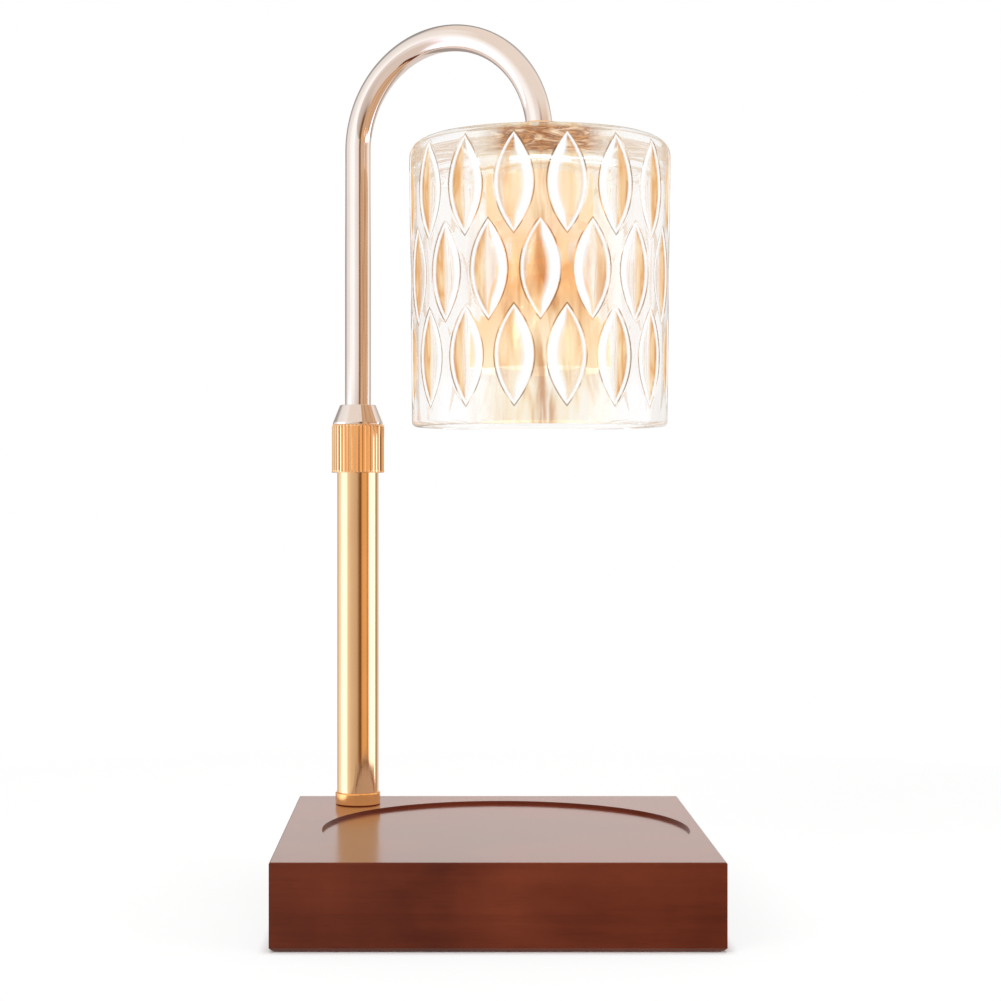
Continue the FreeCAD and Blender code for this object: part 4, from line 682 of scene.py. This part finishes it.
# a pale floor: all shadow under the base, a faint one round it, and the white of the background further away
# polished metal sees past it, so does whatever looks from below, and light reaches the base's underside
def makeFloor():
    floor = {"size": 6.0, "color": (0.88, 0.875, 0.865), "roughness": 0.9, "cloudScale": 3.0,
             "half": middle("wood_base")[0] + radiusOf("wood_base"), "edge": 4 * mm, "nearLift": 0.80,
             "fadeStart": 0.16, "fadeEnd": 0.50}
    half = floor["size"] / 2
    mesh = bpy.data.meshes.new("floor")
    mesh.from_pydata([(-half, -half, 0), (half, -half, 0), (half, half, 0), (-half, half, 0)], [], [(0, 1, 2, 3)])
    item = bpy.data.objects.new("floor", mesh)
    bpy.context.collection.objects.link(item)
    material, tree, shader = newMaterial("pale_floor")
    point = tree.objectPoint()
    cloud = tree.noise(point, floor["cloudScale"], 2.0)
    tree.feed(shader, "Base Color", tree.ramp(cloud, [(0.3, shade(floor["color"], 0.99)), (0.7, floor["color"])]))
    shader.inputs["Roughness"].default_value = floor["roughness"]
    parts = tree.add("ShaderNodeSeparateXYZ", point).outputs
    square = tree.math("MAXIMUM", tree.math("ABSOLUTE", parts["X"]), tree.math("ABSOLUTE", parts["Y"]))
    near = tree.between(square, floor["half"], floor["half"] + floor["edge"], 0.0, floor["nearLift"])
    distance = tree.add("ShaderNodeVectorMath", point, operation="LENGTH").outputs["Value"]
    away = tree.between(distance, floor["fadeStart"], floor["fadeEnd"], 0.0, 1.0)
    light = tree.add("ShaderNodeLightPath").outputs
    seen = tree.math("MAXIMUM", light["Is Camera Ray"], light["Is Transmission Ray"])
    lifted = tree.add("ShaderNodeMixShader", tree.math("MULTIPLY", seen, tree.math("MAXIMUM", near, away)), shader,
                      tree.add("ShaderNodeEmission"))
    below = tree.add("ShaderNodeNewGeometry").outputs["Backfacing"]
    under = tree.math("MULTIPLY", tree.between(square, floor["half"] - floor["edge"], floor["half"], 1.0, 0.0),
                      tree.math("SUBTRACT", 1.0, seen))
    clear = tree.math("MAXIMUM", tree.math("MAXIMUM", below, under), light["Is Glossy Ray"])
    tree.feed(tree.output, 0, tree.add("ShaderNodeMixShader", clear, lifted, tree.add("ShaderNodeBsdfTransparent")))
    mesh.materials.append(material)


# the background is white to the eye and through glass; polished metal sees a studio instead, in bands round the lamp
# bands, which the column sees, has two white screens, a pale room on the left, a tan one on the right and the dark
# slot where the camera stands; highBands, a little above, is the arm's; above, below and behind are tones for the
# bend, the rings and the nut, and later is what a second reflection sees
# angles round the lamp go from 0 to 1, with 0.5 in front, and slopes from -1 straight down to 1 straight up
def makeWorld():
    white, pale, tan, slot = (1.9, 2.0, 2.4), (0.74, 0.69, 0.64), (0.74, 0.50, 0.27), (0.20, 0.10, 0.045)
    studio = {"fill": 0.55, "highSlopes": (0.030, 0.042), "aheadAngles": (0.26, 0.36, 0.78, 0.86),
              "above": (0.92, 0.87, 0.80), "aboveSlopes": (0.15, 0.55), "topSlopes": (0.76, 0.86),
              "below": (0.80, 0.72, 0.65), "belowSlopes": (-0.5, -0.25), "lowSlopes": (-0.95, -0.88),
              "behind": (1.75, 1.58, 1.50), "behindSlopes": (0.105, 0.14, 0.22, 0.27),
              "behindAngles": (0.04, 0.07, 0.93, 0.96), "later": (1.05, 1.03, 1.0), "laterDepths": (2, 3),
              "highBands": [(0.00, (0.34, 0.33, 0.32)), (0.10, (0.36, 0.36, 0.35)), (0.150, (0.50, 0.50, 0.49)),
                            (0.185, (0.90, 0.92, 0.92)), (0.27, (0.97, 1.0, 0.98)), (0.32, (1.15, 1.22, 1.24)),
                            (0.40, (1.2, 1.3, 1.35)), (0.455, (0.95, 0.98, 0.98)), (0.50, (0.98, 0.92, 0.88)),
                            (0.520, (0.9, 0.8, 0.72)), (0.540, (0.25, 0.15, 0.09)), (0.563, (0.18, 0.10, 0.05)),
                            (0.580, (0.72, 0.52, 0.37)), (0.70, (0.72, 0.49, 0.31)), (0.74, (0.80, 0.62, 0.47)),
                            (0.79, (1.15, 1.11, 1.04)), (0.84, (0.92, 0.89, 0.86)), (0.90, (0.56, 0.56, 0.54)),
                            (1.00, (0.36, 0.35, 0.34))],
              "bands": [(0.00, (0.40, 0.36, 0.34)), (0.085, (0.44, 0.40, 0.38)), (0.12, (0.90, 0.88, 0.86)),
                        (0.19, (1.1, 1.1, 1.1)), (0.23, white), (0.31, white),
                        (0.345, (0.95, 0.92, 0.89)), (0.40, pale), (0.49, (0.60, 0.53, 0.46)), (0.530, slot),
                        (0.552, slot), (0.572, tan), (0.63, (0.84, 0.55, 0.27)), (0.660, (0.52, 0.34, 0.18)),
                        (0.672, (0.50, 0.34, 0.20)), (0.690, white), (0.805, white), (0.83, (0.42, 0.33, 0.24)),
                        (0.86, (0.45, 0.37, 0.30)), (0.90, (0.80, 0.76, 0.72)), (1.00, (0.8, 0.78, 0.76))]}
    world = bpy.data.worlds.new("studio")
    bpy.context.scene.world = world
    world.use_nodes = True
    tree = Tree(world.node_tree)
    parts = tree.add("ShaderNodeSeparateXYZ", tree.add("ShaderNodeTexCoord").outputs["Generated"]).outputs
    slope = parts["Z"]
    azimuth = tree.math("ARCTAN2", parts["X"], tree.math("MULTIPLY", parts["Y"], -1.0))
    around = tree.between(azimuth, -np.pi, np.pi, 0.0, 1.0)
    light = tree.add("ShaderNodeLightPath").outputs
    bands = tree.blend(tree.between(slope, *studio["highSlopes"], 0.0, 1.0), tree.ramp(around, studio["bands"]),
                       tree.ramp(around, studio["highBands"]))
    ahead = tree.window(around, *studio["aheadAngles"], 1.0)
    above = tree.math("MAXIMUM", tree.math("MULTIPLY", ahead, tree.between(slope, *studio["aboveSlopes"], 0.0, 1.0)),
                      tree.between(slope, *studio["topSlopes"], 0.0, 1.0))
    below = tree.math("MAXIMUM", tree.math("MULTIPLY", ahead, tree.between(slope, *studio["belowSlopes"], 1.0, 0.0)),
                      tree.between(slope, *studio["lowSlopes"], 1.0, 0.0))
    behind = tree.math("MULTIPLY", tree.window(slope, *studio["behindSlopes"], 1.0),
                       tree.math("SUBTRACT", 1.0, tree.window(around, *studio["behindAngles"], 1.0)))
    later = tree.between(light["Ray Depth"], *studio["laterDepths"], 0.0, 1.0)
    for tone, amount in (("above", above), ("below", below), ("behind", behind), ("later", later)):
        bands = tree.blend(amount, bands, (*studio[tone], 1))
    reflected = tree.add("ShaderNodeBackground", bands, 1.0)
    plain = tree.add("ShaderNodeBackground", (1, 1, 1, 1), studio["fill"])
    backdrop = tree.add("ShaderNodeBackground", (1, 1, 1, 1), 1.0)
    seen = tree.math("MAXIMUM", light["Is Camera Ray"], light["Is Transmission Ray"])
    unseen = tree.add("ShaderNodeMixShader", light["Is Glossy Ray"], plain, reflected)
    tree.add("ShaderNodeOutputWorld", tree.add("ShaderNodeMixShader", seen, unseen, backdrop))


# area lights, each with its place, its size and its power, all aimed at the middle of the lamp
def makeLights():
    aim = (0, 0, 0.15)
    lights = {"key": ((-0.9, -1.1, 1.1), (0.8, 0.8), 14),
              "fill": ((1.2, -0.7, 0.6), (0.7, 1.0), 7),
              "top": ((0.1, 0.3, 1.4), (0.9, 0.9), 8)}
    for name, (place, size, power) in lights.items():
        data = bpy.data.lights.new(name, "AREA")
        data.shape = "RECTANGLE"
        data.size, data.size_y = size
        data.energy = power
        item = bpy.data.objects.new(name, data)
        item.location = place
        item.rotation_euler = Vector(np.array(place) - np.array(aim)).to_track_quat("Z", "Y").to_euler()
        item.visible_glossy = False
        bpy.context.collection.objects.link(item)


makeFloor()
makeWorld()
makeLights()
print("stage and light set")
